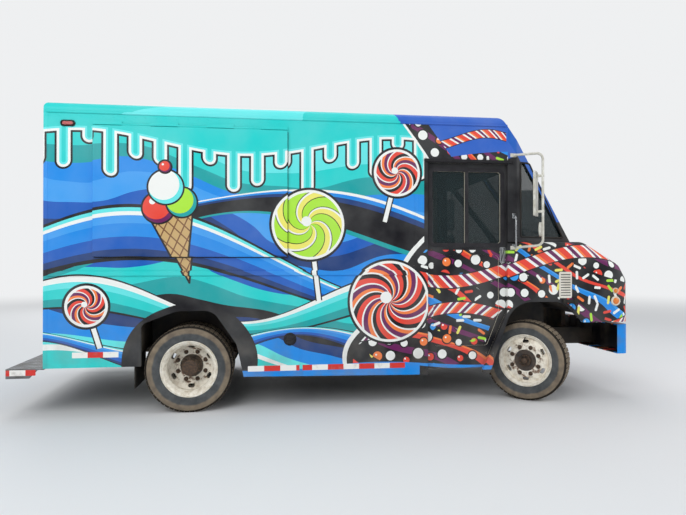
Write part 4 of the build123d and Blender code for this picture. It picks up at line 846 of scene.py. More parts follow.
# Nose fittings: rubber hood latches across the side seams, amber lamps with
# bright rims, round headlamps with glass lenses, and black strips under the
# vent hoods as painted shade in the vent slots.
latches = [slab((x0, -SIDE - y0, z0), (x1, -SIDE - y1, z1), edge) for x0, x1, y0, y1, z0, z1, edge in (
    (2.206, 2.330, 0.017, 0.005, 0.966, 1.002, 0.004),
    (2.312, 2.358, 0.024, -0.001, 0.955, 1.012, 0.006),
    (2.200, 2.222, 0.023, 0.005, 0.958, 1.010, 0.006),
)]
finished(both_sides(*latches), "hood_latches", "mural_paint", rubber, body="nose", smooth=30)


def moulded_lens(name, tones, roughness=0.16, coat=0.5, patch=30, ribs=60.0, direction="Z", depth=(0.4, 0.001)):
    """Clear moulded plastic or glass over colour, with fine ribs."""
    made, tree, shader = material(name, roughness=roughness, coat=coat, specular=0.5)
    (x, y, z), at = place(tree)
    tinted(tree, shader, mix(noise(tree, at, patch, 2.0), *tones))
    wave = add(tree, "ShaderNodeTexWave", {0: at, "Scale": ribs}, bands_direction=direction)
    bump(tree, shader, Field(tree, wave.outputs["Fac"]), *depth)
    return made


amber_lens = moulded_lens("amber_lens", two_tones("F2862A"))
red_lens = moulded_lens("red_lens", two_tones("BE1F17"))
rims, lenses = [], []
for z, radius, heart, deep in ((1.085, 0.030, 0.024, 0.014), (0.983, 0.048, 0.034, 0.018)):
    at = (2.764, -SIDE, z)
    rims.append(spun([(-0.002, 0.0), (-0.002, radius), (deep * 0.5, radius), (deep * 0.8, radius - 0.003),
                      (deep * 0.8, heart), (deep * 0.4, heart - 0.002), (deep * 0.4, 0.0)], at=at, steps=40))
    lenses.append(spun([(deep * 0.3, 0.0), (deep * 0.3, heart - 0.001), (deep * 0.75, heart - 0.002),
                        (deep, heart * 0.72), (deep + 0.004, heart * 0.35), (deep + 0.005, 0.0)], at=at))
pale_rim = plain("pale_rim", "E9E2D2", "CFC6B0", roughness=0.35, patch=20)
finished(both_sides(*rims), "side_lamp_rims", "lamp_amber", pale_rim, "nose_lamps", body="nose", smooth=40)
finished(both_sides(*lenses), "side_lamp_lenses", "lamp_amber", amber_lens, body="nose", smooth=40)

HEADLAMP = (2.912, -0.720, 0.985)
bezel = spun([(-0.060, 0.0), (-0.060, 0.092), (-0.004, 0.094), (0.004, 0.094), (0.0055, 0.088), (0.004, 0.080),
              (-0.012, 0.074), (-0.012, 0.0)], AHEAD, HEADLAMP, 48)
dome = spun([(-0.011, 0.0), (-0.011, 0.073), (-0.004, 0.073), (0.0015, 0.055), (0.0045, 0.028), (0.0055, 0.0)],
            AHEAD, HEADLAMP, 48)
lamp_glass = moulded_lens("lamp_glass", two_tones("C9D2D6", "8E989C"), 0.08, 0.6, 25, 22.0, "Y", (0.5, 0.002))
finished(both_sides(bezel), "headlamp_bezels", "mirror_paint", bright_steel, body="nose", smooth=40)
finished(both_sides(dome), "headlamp_lenses", "lamp_amber", lamp_glass, body="nose", smooth=40)

VENT_FOOT, VENT_PITCH = 1.031, 0.02544
VENTS = [(0, 0, VENT_FOOT + VENT_PITCH * (i + 0.5)) for i in range(9)]
# Black strips under the hoods stand in for the open vent slots. They are painted shade.
slots = spread(slab((2.181, -SIDE - 0.0084, -0.0042), (2.281, -SIDE - 0.002, 0.0042), 0.001), VENTS)
finished(both_sides(slots), "vent_slot_shade", "louver_white", trim_black)
hood = raised(side_plate(2.178, 2.284, 0.0045, 0.0125, -SIDE - 0.0075), RIGHT, [(0, 0.003), (0.002, 0.002)], 0.003, 2)
louver_white = plain("louver_white", "ECE9DF", "D5D0C2", roughness=0.4)
finished(both_sides(spread(hood, VENTS)), "vent_hoods", "louver_white", louver_white, smooth=40)
dress(louver_white, "louver_panels")

# Reflective tape: prismatic film in red and white blocks, stuck along the
# skirts and on the ends of the step.
tape_film, tree, shader = material("tape_film", roughness=0.3, coat=0.4)
(x, y, z), at = place(tree)
rear_run, mid_run = ((x + 2.398) / 0.262).math("FRACT"), ((x + 0.868) / 0.2948).math("FRACT")
blocks = rear_run + (x > -1.0) * (mid_run - rear_run)
scuffs = ranged(noise(tree, at, 14, 5.0), 0.55, 0.75, 0.0, 0.45)
tinted(tree, shader, mix(scuffs, mix(blocks > 0.5, "F3F1EC", "D8261C"), "8C8378"))
cells = add(tree, "ShaderNodeTexVoronoi", {"Vector": at, "Scale": 260.0}, feature="DISTANCE_TO_EDGE")
bump(tree, shader, Field(tree, cells.outputs["Distance"]), 0.4, 0.0004)
# First and last X, middle height, and the face it is stuck on
TAPES = ((-2.398, -2.005, 0.550, -SIDE), (-0.868, 0.606, 0.393, -SIDE), (-2.953, -2.707, 0.402, -1.160))
TAPE_HALF = 0.025
strips = [raised(side_plate(x0, x1, z - TAPE_HALF, z + TAPE_HALF, y), RIGHT, [(0, 0.0005), (0.0012, 0.0002)], 0.003, 2)
          for x0, x1, z, y in TAPES]
finished(both_sides(*strips), "reflective_tape", "bumper_paint", tape_film)

# Front bumper: folded steel channel across the frame's horns, with a striped
# paint outside, blue ends, and black inside as painted shade in the channel's hollow.
bumper_paint, tree, shader = material("bumper_paint", coat=0.1, specular=0.3)
(x, y, z), at = place(tree)
swirl = (y * 2.1 + (z * 6.0).math("SINE") * 0.35).math("FRACT")
face = bands(swirl, [(0.0, INK), (0.22, RED), (0.34, INK), (0.5, ORANGE), (0.56, INK), (0.78, BLUE), (0.9, WHITE),
                     (0.94, INK)])
# The inner faces of the channel are black: painted shade in its hollow.
inner = (facing_out(tree, at) < 0.5) * z.within(0.4535, 0.7285)
colour = mix(inner, mix(y.size() > 1.045, face, BLUE), INK)
dust = ranged(noise(tree, at, 6.0, 6.0), 0.45, 0.75, 0.0, 0.6)
tinted(tree, shader, mix(dust, colour, ROAD_DUST), ranged(noise(tree, at, 4.0, 4.0), 0.0, 1.0, 0.3, 0.55))
bump(tree, shader, noise(tree, at, 90, 3.0), 0.4, 0.0004)
dress(bumper_paint, "front_bumper")

# Rear step: dull tread plate with raised lugs on folded side plates. Each lug
# is a low almond, and they lie in rows turned to and fro.
tread_metal = plain("tread_metal", "85878A", "55504A", metallic=0.7, roughness=0.45, patch=7)
dress(tread_metal, "rear_step")
LUG_PITCH, LUG_ROWS, LUG_COLUMNS = 0.0302, 10, 76
LUG_LONG, LUG_WIDE, LUG_HIGH = 0.0125, 0.004, 0.0018
FIRST_LUG = (-2.938, -1.133, 0.4366)
lug = raised([(-LUG_LONG, 0, 0), (0, -LUG_WIDE, 0), (LUG_LONG, 0, 0), (0, LUG_WIDE, 0)], (0, 0, 1),
             [(0, LUG_HIGH * 0.6), (LUG_WIDE * 0.45, LUG_HIGH * 0.4)])
lug_places = []
for row in range(LUG_ROWS):
    for column in range(LUG_COLUMNS):
        at = Matrix.Translation((FIRST_LUG[0] + LUG_PITCH * row, FIRST_LUG[1] + LUG_PITCH * column, FIRST_LUG[2]))
        lug_places.append(at @ Matrix.Rotation(radians(45 if (row + column) % 2 else -45), 4, "Z"))
finished(spread(lug, lug_places), "step_lugs", "tread_plate", tread_metal)


# Rear doors: a lock rod with guides and a handle on the right leaf, blank
# number plate with four bolts, and bevelled rubber along the meeting edges.
def end_plate(y0, y1, z0, z1, x=REAR):
    """Corners of an upright plate along Y."""
    return [(x, y0, z0), (x, y1, z0), (x, y1, z1), (x, y0, z1)]


ROD_Y = -0.052
rod = [bar([(REAR - 0.014, ROD_Y, z) for z in (0.80, 2.34)], 0.008)]
rod += [slab((REAR - 0.024, ROD_Y - 0.018, z - 0.018), (REAR + 0.001, ROD_Y + 0.018, z + 0.018), 0.003)
        for z in (0.82, 1.16, 1.84, 2.30)]
LOCK = [(0.0, 0.0), (0.0, 0.032), (0.010, 0.032), (0.020, 0.022), (0.020, 0.0)]
rod.append(spun(LOCK, BACK, (REAR, ROD_Y, 1.46), 28))
lever = [(REAR - 0.019, ROD_Y + beside, z)
         for beside, z in ((-0.014, 1.45), (0.014, 1.45), (0.008, 1.32), (-0.008, 1.32))]
rod.append(raised(lever, BACK, [(0, 0.007), (0.003, 0.002)], 0.005, 3))
finished(joined(*rod), "rear_lock_rod", "mural_paint", bright_steel, body="rear_leaf_right", smooth=40)
edge_rubber = slab((REAR - 0.004, -0.012, 0.744), (REAR + 0.004, -0.0035, 2.391), 0.0015)
finished(edge_rubber, "rear_door_rubber", "flap_rubber", rubber, body="rear_leaf_right")
blank = raised(end_plate(-0.152, 0.152, 0.513, 0.667), BACK, [(0, 0.0015), (0.006, 0.0), (0.002, -0.0006)], 0.012)
finished(blank, "number_plate", "louver_white", plain("plate_white", "E8E8E2", "CFCFC6", roughness=0.35, patch=30))
SMALL_BOLT = [(-0.001, 0.0), (-0.001, 0.007), (0.002, 0.007), (0.002, 0.0055), (0.0045, 0.0045), (0.0055, 0.0)]
plate_bolts = spread(spun(SMALL_BOLT, BACK, steps=12),
                     [(REAR - 0.0012, y, 0.59 + z) for y in (-0.089, 0.089) for z in (-0.0605, 0.0605)])
finished(plate_bolts, "plate_bolts", "axle_iron", bright_steel, smooth=40)

# Body lamps: red lenses in rubber bezels. Oval markers stand high on the
# sides and the rear corners, and three round lamps in a column at each side.
bezels = [
    raised(side_plate(-2.500, -2.374, 2.5715, 2.6265), RIGHT,
           [(0, 0.008), (0.004, 0.004), (0.010, 0.0), (0.002, -0.005)], 0.027),
    raised(end_plate(-1.135, -1.025, 2.597, 2.643), BACK,
           [(0, 0.007), (0.003, 0.004), (0.008, 0.0), (0.002, -0.005)], 0.0225),
]
bulbs = [
    raised(side_plate(-2.483, -2.391, 2.5825, 2.6155, -SIDE - 0.006), RIGHT,
           [(0, 0.004), (0.003, 0.003), (0.006, 0.002)], 0.016),
    raised(end_plate(-1.122, -1.038, 2.6065, 2.6335, REAR - 0.005), BACK,
           [(0, 0.004), (0.003, 0.003), (0.005, 0.002)], 0.013),
]
for z in (0.700, 0.830, 0.960):
    at = (REAR, -1.040, z)
    bezels.append(spun([(-0.001, 0.0), (-0.001, 0.052), (0.008, 0.052), (0.014, 0.047), (0.011, 0.040), (0.006, 0.040),
                        (0.006, 0.0)], BACK, at, 40))
    bulbs.append(spun([(0.005, 0.0), (0.005, 0.039), (0.011, 0.039), (0.0145, 0.028), (0.0158, 0.014), (0.016, 0.0)],
                      BACK, at, 40))
finished(both_sides(*bezels), "lamp_bezels", "flap_rubber", rubber, "body_lamps", smooth=40)
finished(both_sides(*bulbs), "red_lenses", "lamp_red", red_lens, smooth=40)

# Fuel filler: a turned plastic cap with a grip bar, screwed into a dished
# neck on the right side.
CAP_X, CAP_Z = -0.484, 0.659
filler = spun([(-0.001, 0.0), (-0.001, 0.060), (0.004, 0.060), (0.006, 0.057), (0.006, 0.050), (0.002, 0.049),
               (0.002, 0.047), (0.018, 0.046), (0.022, 0.042), (0.022, 0.0)], at=(CAP_X, -SIDE, CAP_Z), steps=48)
grip = slab((CAP_X - 0.034, -SIDE - 0.031, CAP_Z - 0.006), (CAP_X + 0.034, -SIDE - 0.020, CAP_Z + 0.006), 0.004)
finished(joined(filler, grip), "fuel_filler", "tank_metal", trim_black, smooth=40)

# Mirrors: white tube loops with a flat head and a round wide-angle head, each
# with silvered glass in a dark rubber rim on the side that faces the driver.
mirror_white = plain("mirror_white", "E2E1D8", "B3AF9F", roughness=0.4, patch=16, coat=0.2)
dress(mirror_white, "mirrors")
silvered, tree, shader = material("silvered_glass", metallic=1.0, roughness=0.04)
tinted(tree, shader, mix(noise(tree, place(tree)[1], 4.0, 3.0), "C3CACC", "9FA8AC"))
TURN = radians(55)
LOOP_X, LOOP_Y = 1.912, -1.350      # outer bar of the mirror's loop


def on_head(back, z):
    """Matrix of a mirror head's middle behind the loop's outer bar."""
    spot = Matrix.Translation((LOOP_X - back * sin(TURN), LOOP_Y + back * cos(TURN), z))
    return spot @ Matrix.Rotation(TURN, 4, "Z")


FLAT_AT, ROUND_AT = on_head(0.066, 2.026), on_head(0.020, 1.685)
INWARD = (0, 1, 0)
face = side_plate(-0.089, 0.089, -0.214, 0.214, 0.0095)
RIM = [(0.009, 0.060), (0.009, 0.0675), (0.013, 0.0675), (0.0145, 0.064), (0.013, 0.060), (0.009, 0.060)]
DISH = [(0.009, 0.0), (0.009, 0.0605), (0.0105, 0.0605), (0.014, 0.045), (0.0165, 0.026), (0.0175, 0.0)]
heads = [moved(ring_frame(face, INWARD, 0.007, 0.003, 0.020), FLAT_AT),
         moved(spun(RIM, INWARD, steps=40), ROUND_AT)]
finished(both_sides(*heads), "mirror_rims", "flap_rubber", rubber, smooth=40)
pane = raised([(x * 0.92, y, z * 0.967) for x, y, z in face], INWARD, [(0, 0.0018), (0.002, 0.0004)], 0.014)
heads = [moved(pane, FLAT_AT), moved(spun(DISH, INWARD, steps=40), ROUND_AT)]
finished(both_sides(*heads), "mirror_glass", "mirror_paint", silvered, smooth=50)
clamps = [moved(slab((-0.013, -0.079, z - 0.012), (0.013, 0.002, z + 0.012), 0.004), FLAT_AT) for z in (-0.171, 0.171)]
finished(both_sides(*clamps), "mirror_clamps", "mirror_paint", mirror_white, smooth=40)

# Tyres: moulded rubber on a steel bead. One slice of the carcass is spun with
# its shoulder and inner blocks pushed up out of the tread, then repeated.
PITCHES = 52
SLICE, GAP = 2 * pi / PITCHES, radians(1.2)
TREAD, BASE = 0.394, 0.382
AXLE = (0, 1, 0)
HALF_SECTION = [
    (0.078, 0.252), (0.088, 0.256), (0.0965, 0.266), (0.099, 0.272), (0.0985, 0.278), (0.104, 0.296), (0.1085, 0.318),
    (0.110, 0.338), (0.1085, 0.352), (0.1075, 0.353), (0.1055, 0.366), (0.101, 0.376), (0.097, 0.380),
    *[(along, BASE) for along in (0.088, 0.086, 0.058, 0.050, 0.026, 0.018)], (0.0175, TREAD),
]
BLOCKS = ((0.058, 0.086), (0.026, 0.050), (-0.086, -0.058), (-0.050, -0.026))     # offsets of the block ribs
section = HALF_SECTION + [(-along, radius) for along, radius in reversed(HALF_SECTION)]

drawn([(0, along, radius) for along, radius in section + section[:1]])
bpy.ops.mesh.remove_doubles(threshold=1e-6)
for steps, angle in ((1, GAP), (2, SLICE - GAP)):
    bpy.ops.mesh.spin(steps=steps, angle=angle, center=(0, 0, 0), axis=AXLE)
select_mesh()
bpy.ops.mesh.normals_make_consistent(inside=False)
sheet = bmesh.from_edit_mesh(bpy.context.object.data)
outermost = max(sheet.faces, key=lambda face: face.calc_center_median().xz.length)
spot = outermost.calc_center_median()
if outermost.normal.dot(Vector((spot.x, 0, spot.z))) < 0:
    bpy.ops.mesh.flip_normals()
for low, high in BLOCKS:
    bpy.ops.mesh.select_all(action="DESELECT")
    for face in bmesh.from_edit_mesh(bpy.context.object.data).faces:
        spot = face.calc_center_median()
        if low < spot.y < high and spot.xz.length > 0.370 and atan2(abs(spot.x), spot.z) > GAP:
            face.select = True
    bmesh.update_edit_mesh(bpy.context.object.data)
    lifted(TREAD - BASE)
start()
tyre = spread(bpy.context.object, [Matrix.Rotation(SLICE * i, 4, "Y") for i in range(PITCHES)])
bpy.ops.object.mode_set(mode="EDIT")
tyre = closed(2e-5)


def from_axle(tree, centre, turn=0.0):
    """Distance from a wheel's axle, which is turned about Z, and the place as a socket."""
    (x, y, z), at = place(tree)
    across = (x - centre[0]) * cos(turn) + (y - centre[1]) * sin(turn)
    return length(across, z - centre[2]), at


def tyre_finish(name, centre, turn=0.0):
    """Black rubber with road dust on the walls and the tops of the tread, a cleaner ring by the bead, and painted shade
    in the grooves and round the shoulders.
    """
    made, tree, shader = material(name, roughness=0.85, specular=0.25)
    away, at = from_axle(tree, centre, turn)
    dust = ranged(noise(tree, at, 11.0, 6.0, 0.6), 0.35, 0.7)
    dusty, clean = mix(dust, "6E6357", "91836F"), mix(dust, "45484A", "5E6061")
    colour = mix(ranged(away + dust * 0.006, 0.322, 0.336), clean, dusty)
    # Dark brown from the shoulders out to just below the tread tops, so in the grooves and on the block sides. This is
    # painted shade.
    tinted(tree, shader, mix(away.within(0.374, 0.3925), colour, "2B2722"))
    rings = (away * 900.0).math("SINE") * away.within(0.284, 0.345)
    bump(tree, shader, rings * 0.5 + noise(tree, at, 140.0, 3.0), 0.5, 0.0006)
    return made


STEER = radians(-39)
PIN_X, PIN_Y, PIN_TO_WHEEL, REAR_X, AXLE_Z = 1.978, 0.935, 0.120, -1.400, 0.394
OUTER, INNER = 1.040, 0.780     # middles of the twin rear tyres
BETWEEN = (OUTER + INNER) / 2
REAR_AXLE = (REAR_X, 0, AXLE_Z)


def at_front(side):
    """Matrix of a front wheel's middle, turned about its kingpin."""
    pin = Matrix.Translation((PIN_X, side * PIN_Y, AXLE_Z))
    return pin @ Matrix.Rotation(STEER, 4, "Z") @ Matrix.Translation((0, side * PIN_TO_WHEEL, 0))


def at_rear(side, out):
    """Matrix of a place on the rear axle, out from the middle of the truck."""
    return Matrix.Translation((REAR_X, side * out, AXLE_Z))


for side, word in SIDES:
    rubber_front = tyre_finish("front_rubber_" + word, at_front(side).translation, STEER)
    finished(copied(tyre, at_front(side)), "front_tyre_" + word, "tyre_rubber", rubber_front, "tyre_front_" + word,
             body="front_wheel_" + word, smooth=30)
    pair = joined(*[copied(tyre, at_rear(side, out)) for out in (OUTER, INNER)])
    finished(pair, "rear_tyres_" + word, "tyre_rubber", tyre_finish("rear_rubber_" + word, REAR_AXLE),
             "tyres_rear_" + word, body="rear_wheels_" + word, smooth=30)
bpy.data.objects.remove(tyre)

# Wheels: pressed steel discs in cream paint with a rolled lip, eight nuts on
# threaded studs, a rubber valve and a turned hub cap with its small bolts.
NUTS, NUT_CIRCLE = 8, 0.1375


def wheel_finish(name, centre, turn=0.0):
    """Cream paint, dusty and rust-stained round the nuts, over a dark hub."""
    made, tree, shader = material(name, roughness=0.45, coat=0.15)
    away, at = from_axle(tree, centre, turn)
    stain = noise(tree, at, 17.0, 7.0, 0.65)
    cream = mix(ranged(stain, 0.44, 0.72, 0.0, 0.8), "FAF4E6", "B5A385")
    rust = ranged(stain, 0.52, 0.62, 0.0, 0.9) * away.within(0.100, 0.175)
    hub = mix(ranged(stain, 0.4, 0.65), "2E2926", "57483B")
    tinted(tree, shader, mix(away < 0.106, mix(rust, cream, "6B4630"), hub), ranged(stain, 0.3, 0.7, 0.35, 0.65))
    bump(tree, shader, stain, 0.3, 0.0005)
    return made


def hex_nut():
    """Nut with chamfered corners, a washer and the stud's end, along Y at the origin."""
    start()
    bpy.ops.mesh.primitive_cylinder_add(vertices=6, radius=0.0185, depth=0.020, rotation=(pi / 2, 0, 0),
                                        location=(0, -0.010, 0))
    bpy.ops.object.transform_apply(location=True, rotation=True, scale=True)
    bpy.ops.object.mode_set(mode="EDIT")
    select_mesh()
    bpy.ops.mesh.bevel(offset=0.0022, segments=1, affect="EDGES")
    nut = closed()
    washer = spun([(-0.001, 0.0), (-0.001, 0.021), (0.0025, 0.021), (0.0035, 0.019), (0.0035, 0.0)], steps=20)
    stud = spun([(0.018, 0.0), (0.018, 0.0095), (0.028, 0.0095), (0.030, 0.0075), (0.030, 0.0)], steps=12)
    return joined(nut, washer, stud)


def ring_round(made, count, circle, along, first=0.0):
    """Copies of a small piece in a circle about the Y axis, at a place along it."""
    spots = [Matrix.Rotation(2 * pi * (i + first) / count, 4, "Y") @ Matrix.Translation((0, along, circle))
             for i in range(count)]
    return spread(made, spots)


def hub_parts(cap, bolts, bolt_circle, bolt_along, nuts_along):
    """Eight wheel nuts, and a turned cap with small bolts."""
    return joined(ring_round(hex_nut(), NUTS, NUT_CIRCLE, nuts_along, 0.5), spun(cap, steps=40),
                  ring_round(spun(SMALL_BOLT, steps=10), bolts, bolt_circle, bolt_along))


lip = spun([(0.084, 0.246), (0.090, 0.245), (0.0945, 0.249), (0.0955, 0.2545), (0.0925, 0.2585), (0.088, 0.2595),
            (0.086, 0.256), (0.085, 0.250), (0.084, 0.246)], steps=72)
valve = bar([(0, -0.062, 0.226), (0, -0.080, 0.222), (0, -0.106, 0.212)], 0.0055, 0.006)
front_hub = hub_parts([(0.094, 0.0), (0.094, 0.058), (0.104, 0.058), (0.108, 0.054), (0.108, 0.030), (0.122, 0.027),
                       (0.127, 0.018), (0.128, 0.0)], 6, 0.040, -0.1075, -0.076)
rear_hub = hub_parts([(0.140, 0.0), (0.140, 0.0735), (0.152, 0.0735), (0.157, 0.069), (0.159, 0.055), (0.162, 0.0)],
                     10, 0.088, -0.150, -0.012)
lip_cream = plain("lip_cream", "F1EDE2", "C9BDA4", roughness=0.35, patch=20, coat=0.3)
nut_steel = plain("nut_steel", "3A332D", "6A5240", metallic=0.3, roughness=0.55, patch=60)
for side, word in SIDES:
    faced = Matrix() if side < 0 else Matrix.Rotation(pi, 4, "Z")
    front = at_front(side) @ faced
    dress(wheel_finish("front_wheel_paint_" + word, front.translation, STEER), "rim_front_" + word)
    dress(wheel_finish("rear_wheel_paint_" + word, REAR_AXLE), "rim_rear_" + word)
    for made, at, name, slot, finish, smooth in (
        (lip, front, "front_lip_", "wheel_cream", lip_cream, 50),
        (lip, at_rear(side, OUTER) @ faced, "rear_lip_", "wheel_cream", lip_cream, 50),
        (front_hub, front, "front_nuts_", "axle_iron", nut_steel, 35),
        (rear_hub, at_rear(side, BETWEEN) @ faced, "rear_nuts_", "axle_iron", nut_steel, 35),
        (valve, front, "front_valve_", "flap_rubber", rubber, 35),
    ):
        body = "front_wheel_" if name.startswith("front") else "rear_wheels_"
        finished(copied(made, at), name + word, slot, finish, body=body + word, smooth=smooth)
for made in (lip, valve, front_hub, rear_hub):
    bpy.data.objects.remove(made)

# Driver's seat: foam under black vinyl with a stitched piping, a tall back and
# a cushion on a folded steel pedestal. The foam swells out between the seams.
seat_vinyl = plain("seat_vinyl", "26262A", "17171B", patch=20, grain=380, depth=0.0005)
CHANNELS, CHANNEL_DEEP, CHANNEL_HALF = (-0.105, 0.105), 0.009, 0.014
CELL, EDGE, PUFF, FRAMES = 0.014, 0.008, 0.016, 12


def cushion(low, high, axis):
    """Foam pad between two corners: swollen by a short pressure run and cut by sewn channels."""
    pad = slab([v + EDGE for v in low], [v - EDGE for v in high], 0.028, 4)
    modified(pad, "REMESH", mode="VOXEL", voxel_size=CELL)
    rest = [vertex.co.copy() for vertex in pad.data.vertices]
    foam = pad.modifiers.new("foam", "CLOTH")
    foam.settings.use_pressure = True
    foam.settings.uniform_pressure_force = 4.0
    foam.settings.effector_weights.gravity = 0.0
    foam.point_cache.frame_start, foam.point_cache.frame_end = 1, FRAMES
    for frame in range(1, FRAMES + 1):
        scene.frame_set(frame)
    bpy.ops.object.modifier_apply(modifier=foam.name)
    scene.frame_set(1)
    middle, reach = (Vector(low) + Vector(high)) / 2, (Vector(high) - Vector(low)) / 2
    thin = min(range(3), key=lambda i: reach[i])
    for vertex, first in zip(pad.data.vertices, rest):
        step = vertex.co - first
        if step.length > PUFF * 0.5:
            step *= PUFF * 0.5 / step.length
        across = first - middle
        crown = max(0.0, 1 - (across[axis] / reach[axis]) ** 2)
        press = CHANNEL_DEEP * max(0.0, 1 - min(abs(across.y - seam) for seam in CHANNELS) / CHANNEL_HALF)
        vertex.co = first + step
        vertex.co[thin] += (1 if across[thin] > 0 else -1) * (crown * PUFF * 0.6 - press)
    return modified(pad, "SUBSURF", levels=1, render_levels=1)


seat_pad = cushion((0.890, 0.335, 1.070), (1.325, 0.785, 1.175), 0)
back_pad = cushion((0.824, 0.335, 1.150), (0.922, 0.785, 1.775), 2)
pad_edge = [(x, y, 1.148) for x, y in ((1.315, 0.345), (1.315, 0.775), (0.905, 0.775), (0.905, 0.345), (1.315, 0.345))]
back_edge = [(0.906, y, z) for y, z in ((0.345, 1.165), (0.345, 1.762), (0.775, 1.762), (0.775, 1.165), (0.345, 1.165))]
cushions = joined(seat_pad, back_pad, bar(pad_edge, 0.0045, 0.03), bar(back_edge, 0.0045, 0.04))
finished(cushions, "seat_cushions", "seat_vinyl", seat_vinyl, "driver_seat", smooth=180)
pedestal = [slab(low, high, edge, segments) for low, high, edge, segments in (
    ((0.950, 0.420, 0.735), (1.240, 0.700, 0.750), 0.004, 2),
    ((0.965, 0.435, 0.745), (1.225, 0.685, 1.030), 0.018, 3),
    ((0.905, 0.350, 1.025), (1.310, 0.770, 1.072), 0.008, 3),
    ((0.845, 0.370, 1.040), (0.905, 0.400, 1.300), 0.006, 2),
    ((0.845, 0.720, 1.040), (0.905, 0.750, 1.300), 0.006, 2),
)]
pedestal_grey = plain("pedestal_grey", "47484A", "2F2F31", patch=12)
finished(joined(*pedestal), "seat_pedestal", "axle_iron", pedestal_grey, "driver_seat")

# Glass: tinted toughened panes of the screen, its corners and the doors, held
# in the glazing rubber, with a thin film of dust over the tint.
window_glass, tree, shader = material("window_glass", roughness=0.03, specular=0.5)
shader.inputs["Alpha"].default_value = 0.62
tinted(tree, shader, mix(noise(tree, place(tree)[1], 6.0, 5.0), "152224", "273638"))
dress(window_glass, "cab_glass", "door_glass_right", "door_glass_left")

# Cab fittings: dials in turned bezels and a row of rocker switches on the
# slanted face of the dash, a horn button, rubber-faced pedals and a lever.
dress(plain("cover_black", "26272A", "38383B", roughness=0.65, grain=300), "engine_cover", "dash", "steering_wheel")
DASH_TOP, DASH_FOOT = Vector((2.160, 0, 1.500)), Vector((2.060, 0, 1.390))
SLOPE = (DASH_TOP - DASH_FOOT).normalized()
DASH_OUT = SLOPE.cross(Vector((0, 1, 0)))


def on_dash(y, up):
    """Place on the slanted face: Y, and the way up the slope from its middle."""
    return (DASH_TOP + DASH_FOOT) / 2 + Vector((0, y, 0)) + SLOPE * up


bezels, dials = [], []
for y, radius in ((0.46, 0.040), (0.56, 0.052), (0.67, 0.052), (0.77, 0.040)):
    at = on_dash(y, 0.008)
    bezels.append(spun([(-0.001, radius), (0.008, radius), (0.011, radius - 0.003), (0.009, radius - 0.006),
                        (0.002, radius - 0.007), (-0.001, radius - 0.007), (-0.001, radius)], DASH_OUT, at, 36))
    dials.append(spun([(-0.001, 0.0), (-0.001, radius - 0.006), (0.002, radius - 0.006), (0.002, 0.004),
                       (0.005, 0.004), (0.005, 0.0)], DASH_OUT, at, 36))
SWITCHES, SWITCH_PITCH = 7, 0.045
for i in range(SWITCHES):
    a, b = on_dash(0.16 - SWITCH_PITCH * i, -0.025), on_dash(0.13 - SWITCH_PITCH * i, 0.025)
    corners = [Vector(spot) - DASH_OUT * 0.001 for spot in (a, (a.x, b.y, a.z), b, (b.x, a.y, b.z))]
    dials.append(raised(corners, DASH_OUT, [(0, 0.004), (0.003, 0.004)], 0.003, 2))
finished(joined(*bezels), "dash_bezels", "axle_iron", bright_steel, smooth=40)
dial_face = plain("dial_face", "0E0E10", "2A2A2C", roughness=0.3, patch=90)
finished(joined(*dials), "dash_dials", "cover_plastic", dial_face, smooth=40)
RAKE = radians(35)      # of the steering column
WHEEL_AXIS = Vector((-sin(RAKE), 0, cos(RAKE)))
horn = spun([(0.0, 0.0), (0.0, 0.036), (0.012, 0.036), (0.022, 0.030), (0.027, 0.018), (0.028, 0.0)], WHEEL_AXIS,
            Vector((1.500, 0.560, 1.330)) + WHEEL_AXIS * 0.016, 36)
finished(horn, "horn_button", "cover_plastic", trim_black, body="hand_wheel", smooth=40)
pedals = []
for y, wide in ((0.47, 0.035), (0.62, 0.045)):
    pad = [(1.905, y - wide, 0.860), (1.905, y + wide, 0.860), (1.965, y + wide, 0.945), (1.965, y - wide, 0.945)]
    pedals.append(raised(pad, (-1, 0, 0.7), [(0, 0.008), (0.006, 0.005)], 0.010, 3))
    pedals.append(bar([(1.940, y, 0.905), (2.010, y, 0.930), (2.050, y, 1.250)], 0.009, 0.02))
throttle = [(1.860, 0.735, 0.742), (1.860, 0.795, 0.742), (1.985, 0.795, 0.860), (1.985, 0.735, 0.860)]
pedals.append(raised(throttle, (-1, 0, 1), [(0, 0.010), (0.006, 0.005)], 0.012, 3))
finished(joined(*pedals), "pedals", "cover_plastic", rubber, smooth=40)
gaiter = spun([(-0.001, 0.0), (-0.001, 0.070), (0.010, 0.070), (0.016, 0.060), (0.026, 0.064), (0.036, 0.048),
               (0.048, 0.052), (0.060, 0.034), (0.072, 0.036), (0.084, 0.016), (0.092, 0.0)],
              (0, 0, 1), (1.760, 0.25, 1.149))
lever = bar([(1.760, 0.25, 1.200), (1.745, 0.26, 1.320), (1.700, 0.29, 1.420)], 0.009, 0.06)
knob = spun([(0.0, 0.0), (0.004, 0.012), (0.016, 0.024), (0.034, 0.027), (0.050, 0.020), (0.056, 0.0)],
            (-0.33, 0.22, 0.92), (1.700, 0.29, 1.410))
finished(joined(gaiter, lever, knob), "gear_lever", "cover_plastic", trim_black, smooth=60)

# Grille: pressed black bars inside a bright rolled surround, clipped to the
# front face of the nose.
dress(plain("grille_black", "1B1B1D", "2D2D2F", patch=18), "grille")
surround = ring_frame(end_plate(-0.452, 0.452, 0.808, 1.152, 2.908), AHEAD, 0.022, 0.012, 0.035)
finished(surround, "grille_surround", "grille_black", bright_steel, body="nose")

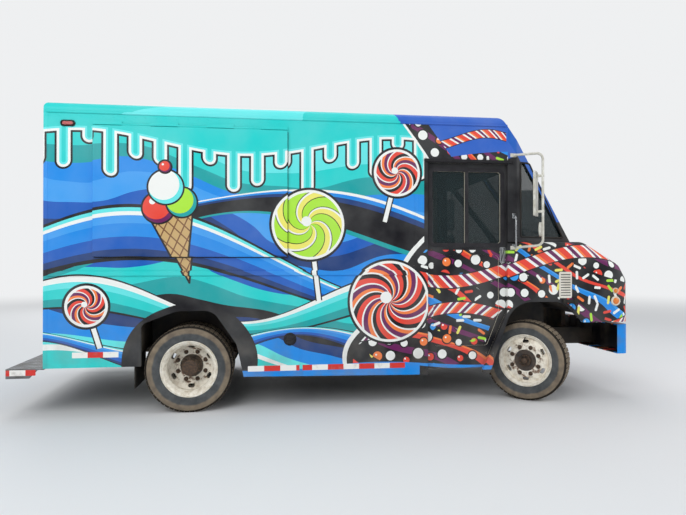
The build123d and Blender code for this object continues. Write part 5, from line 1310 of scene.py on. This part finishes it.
# Chassis: channel rails, forged axles on leaf springs held by U-bolts, and a
# tank hung in two steel straps, in black paint under road dirt and rust.
axle_iron = plain("axle_iron", "2A2724", "5A4B3C", metallic=0.3, roughness=0.6, patch=12)
dress(axle_iron, "front_axle", "rear_axle", "leaf_springs", "engine", "knuckle_right", "knuckle_left", "tie_rod")
dress(plain("chassis_black", "1D1C1C", "4A4137", roughness=0.6, patch=4.0), "chassis_frame", "wheelhouses")
dress(plain("tank_steel", "7C7D7E", "5E5A54", metallic=0.7, roughness=0.42, patch=10), "fuel_tank")
dress(plain("exhaust_rust", "5B4636", "7B5A41", metallic=0.4, roughness=0.7, patch=16), "exhaust")
dress(plain("floor_metal", "9A9C9C", "6E6A64", metallic=0.6, patch=5), "floor")
dress(rubber, "mud_flaps")

u_bolts = []
HALF_WIDE, NUT_UP = 0.042, 0.012
for middle, reach, y, top, foot in ((REAR_X, 0.085, -0.550, 0.512, 0.280), (PIN_X, 0.060, -0.432, 0.505, 0.300)):
    for x in (middle - reach, middle + reach):
        legs = ((-HALF_WIDE, foot), (-HALF_WIDE, top), (HALF_WIDE, top), (HALF_WIDE, foot))
        u_bolts.append(bar([(x, y + beside, z) for beside, z in legs], 0.008, 0.018))
        u_bolts.append(spread(hex_nut(), [Matrix.Translation((x, y + beside, foot + NUT_UP))
                                          @ Matrix.Rotation(-pi / 2, 4, "X") for beside in (-HALF_WIDE, HALF_WIDE)]))
finished(both_sides(*u_bolts), "u_bolts", "axle_iron", nut_steel)

STRAP = [(-0.54, 0.604), (-0.84, 0.604), (-0.904, 0.54), (-0.904, 0.39), (-0.84, 0.326), (-0.54, 0.326), (-0.476, 0.39)]
STRAP_WIDE = 0.038
straps = []
for x in (-0.610, -0.190):
    filled([(x - STRAP_WIDE / 2, y, z) for y, z in STRAP], 0.012, 3)
    bpy.ops.mesh.delete(type="ONLY_FACE")
    select_mesh()
    bpy.ops.mesh.extrude_region_move(TRANSFORM_OT_translate={"value": (STRAP_WIDE, 0, 0)})
    straps.append(modified(closed(), "SOLIDIFY", thickness=0.003, offset=1.0))
finished(joined(*straps), "tank_straps", "tank_metal", axle_iron)
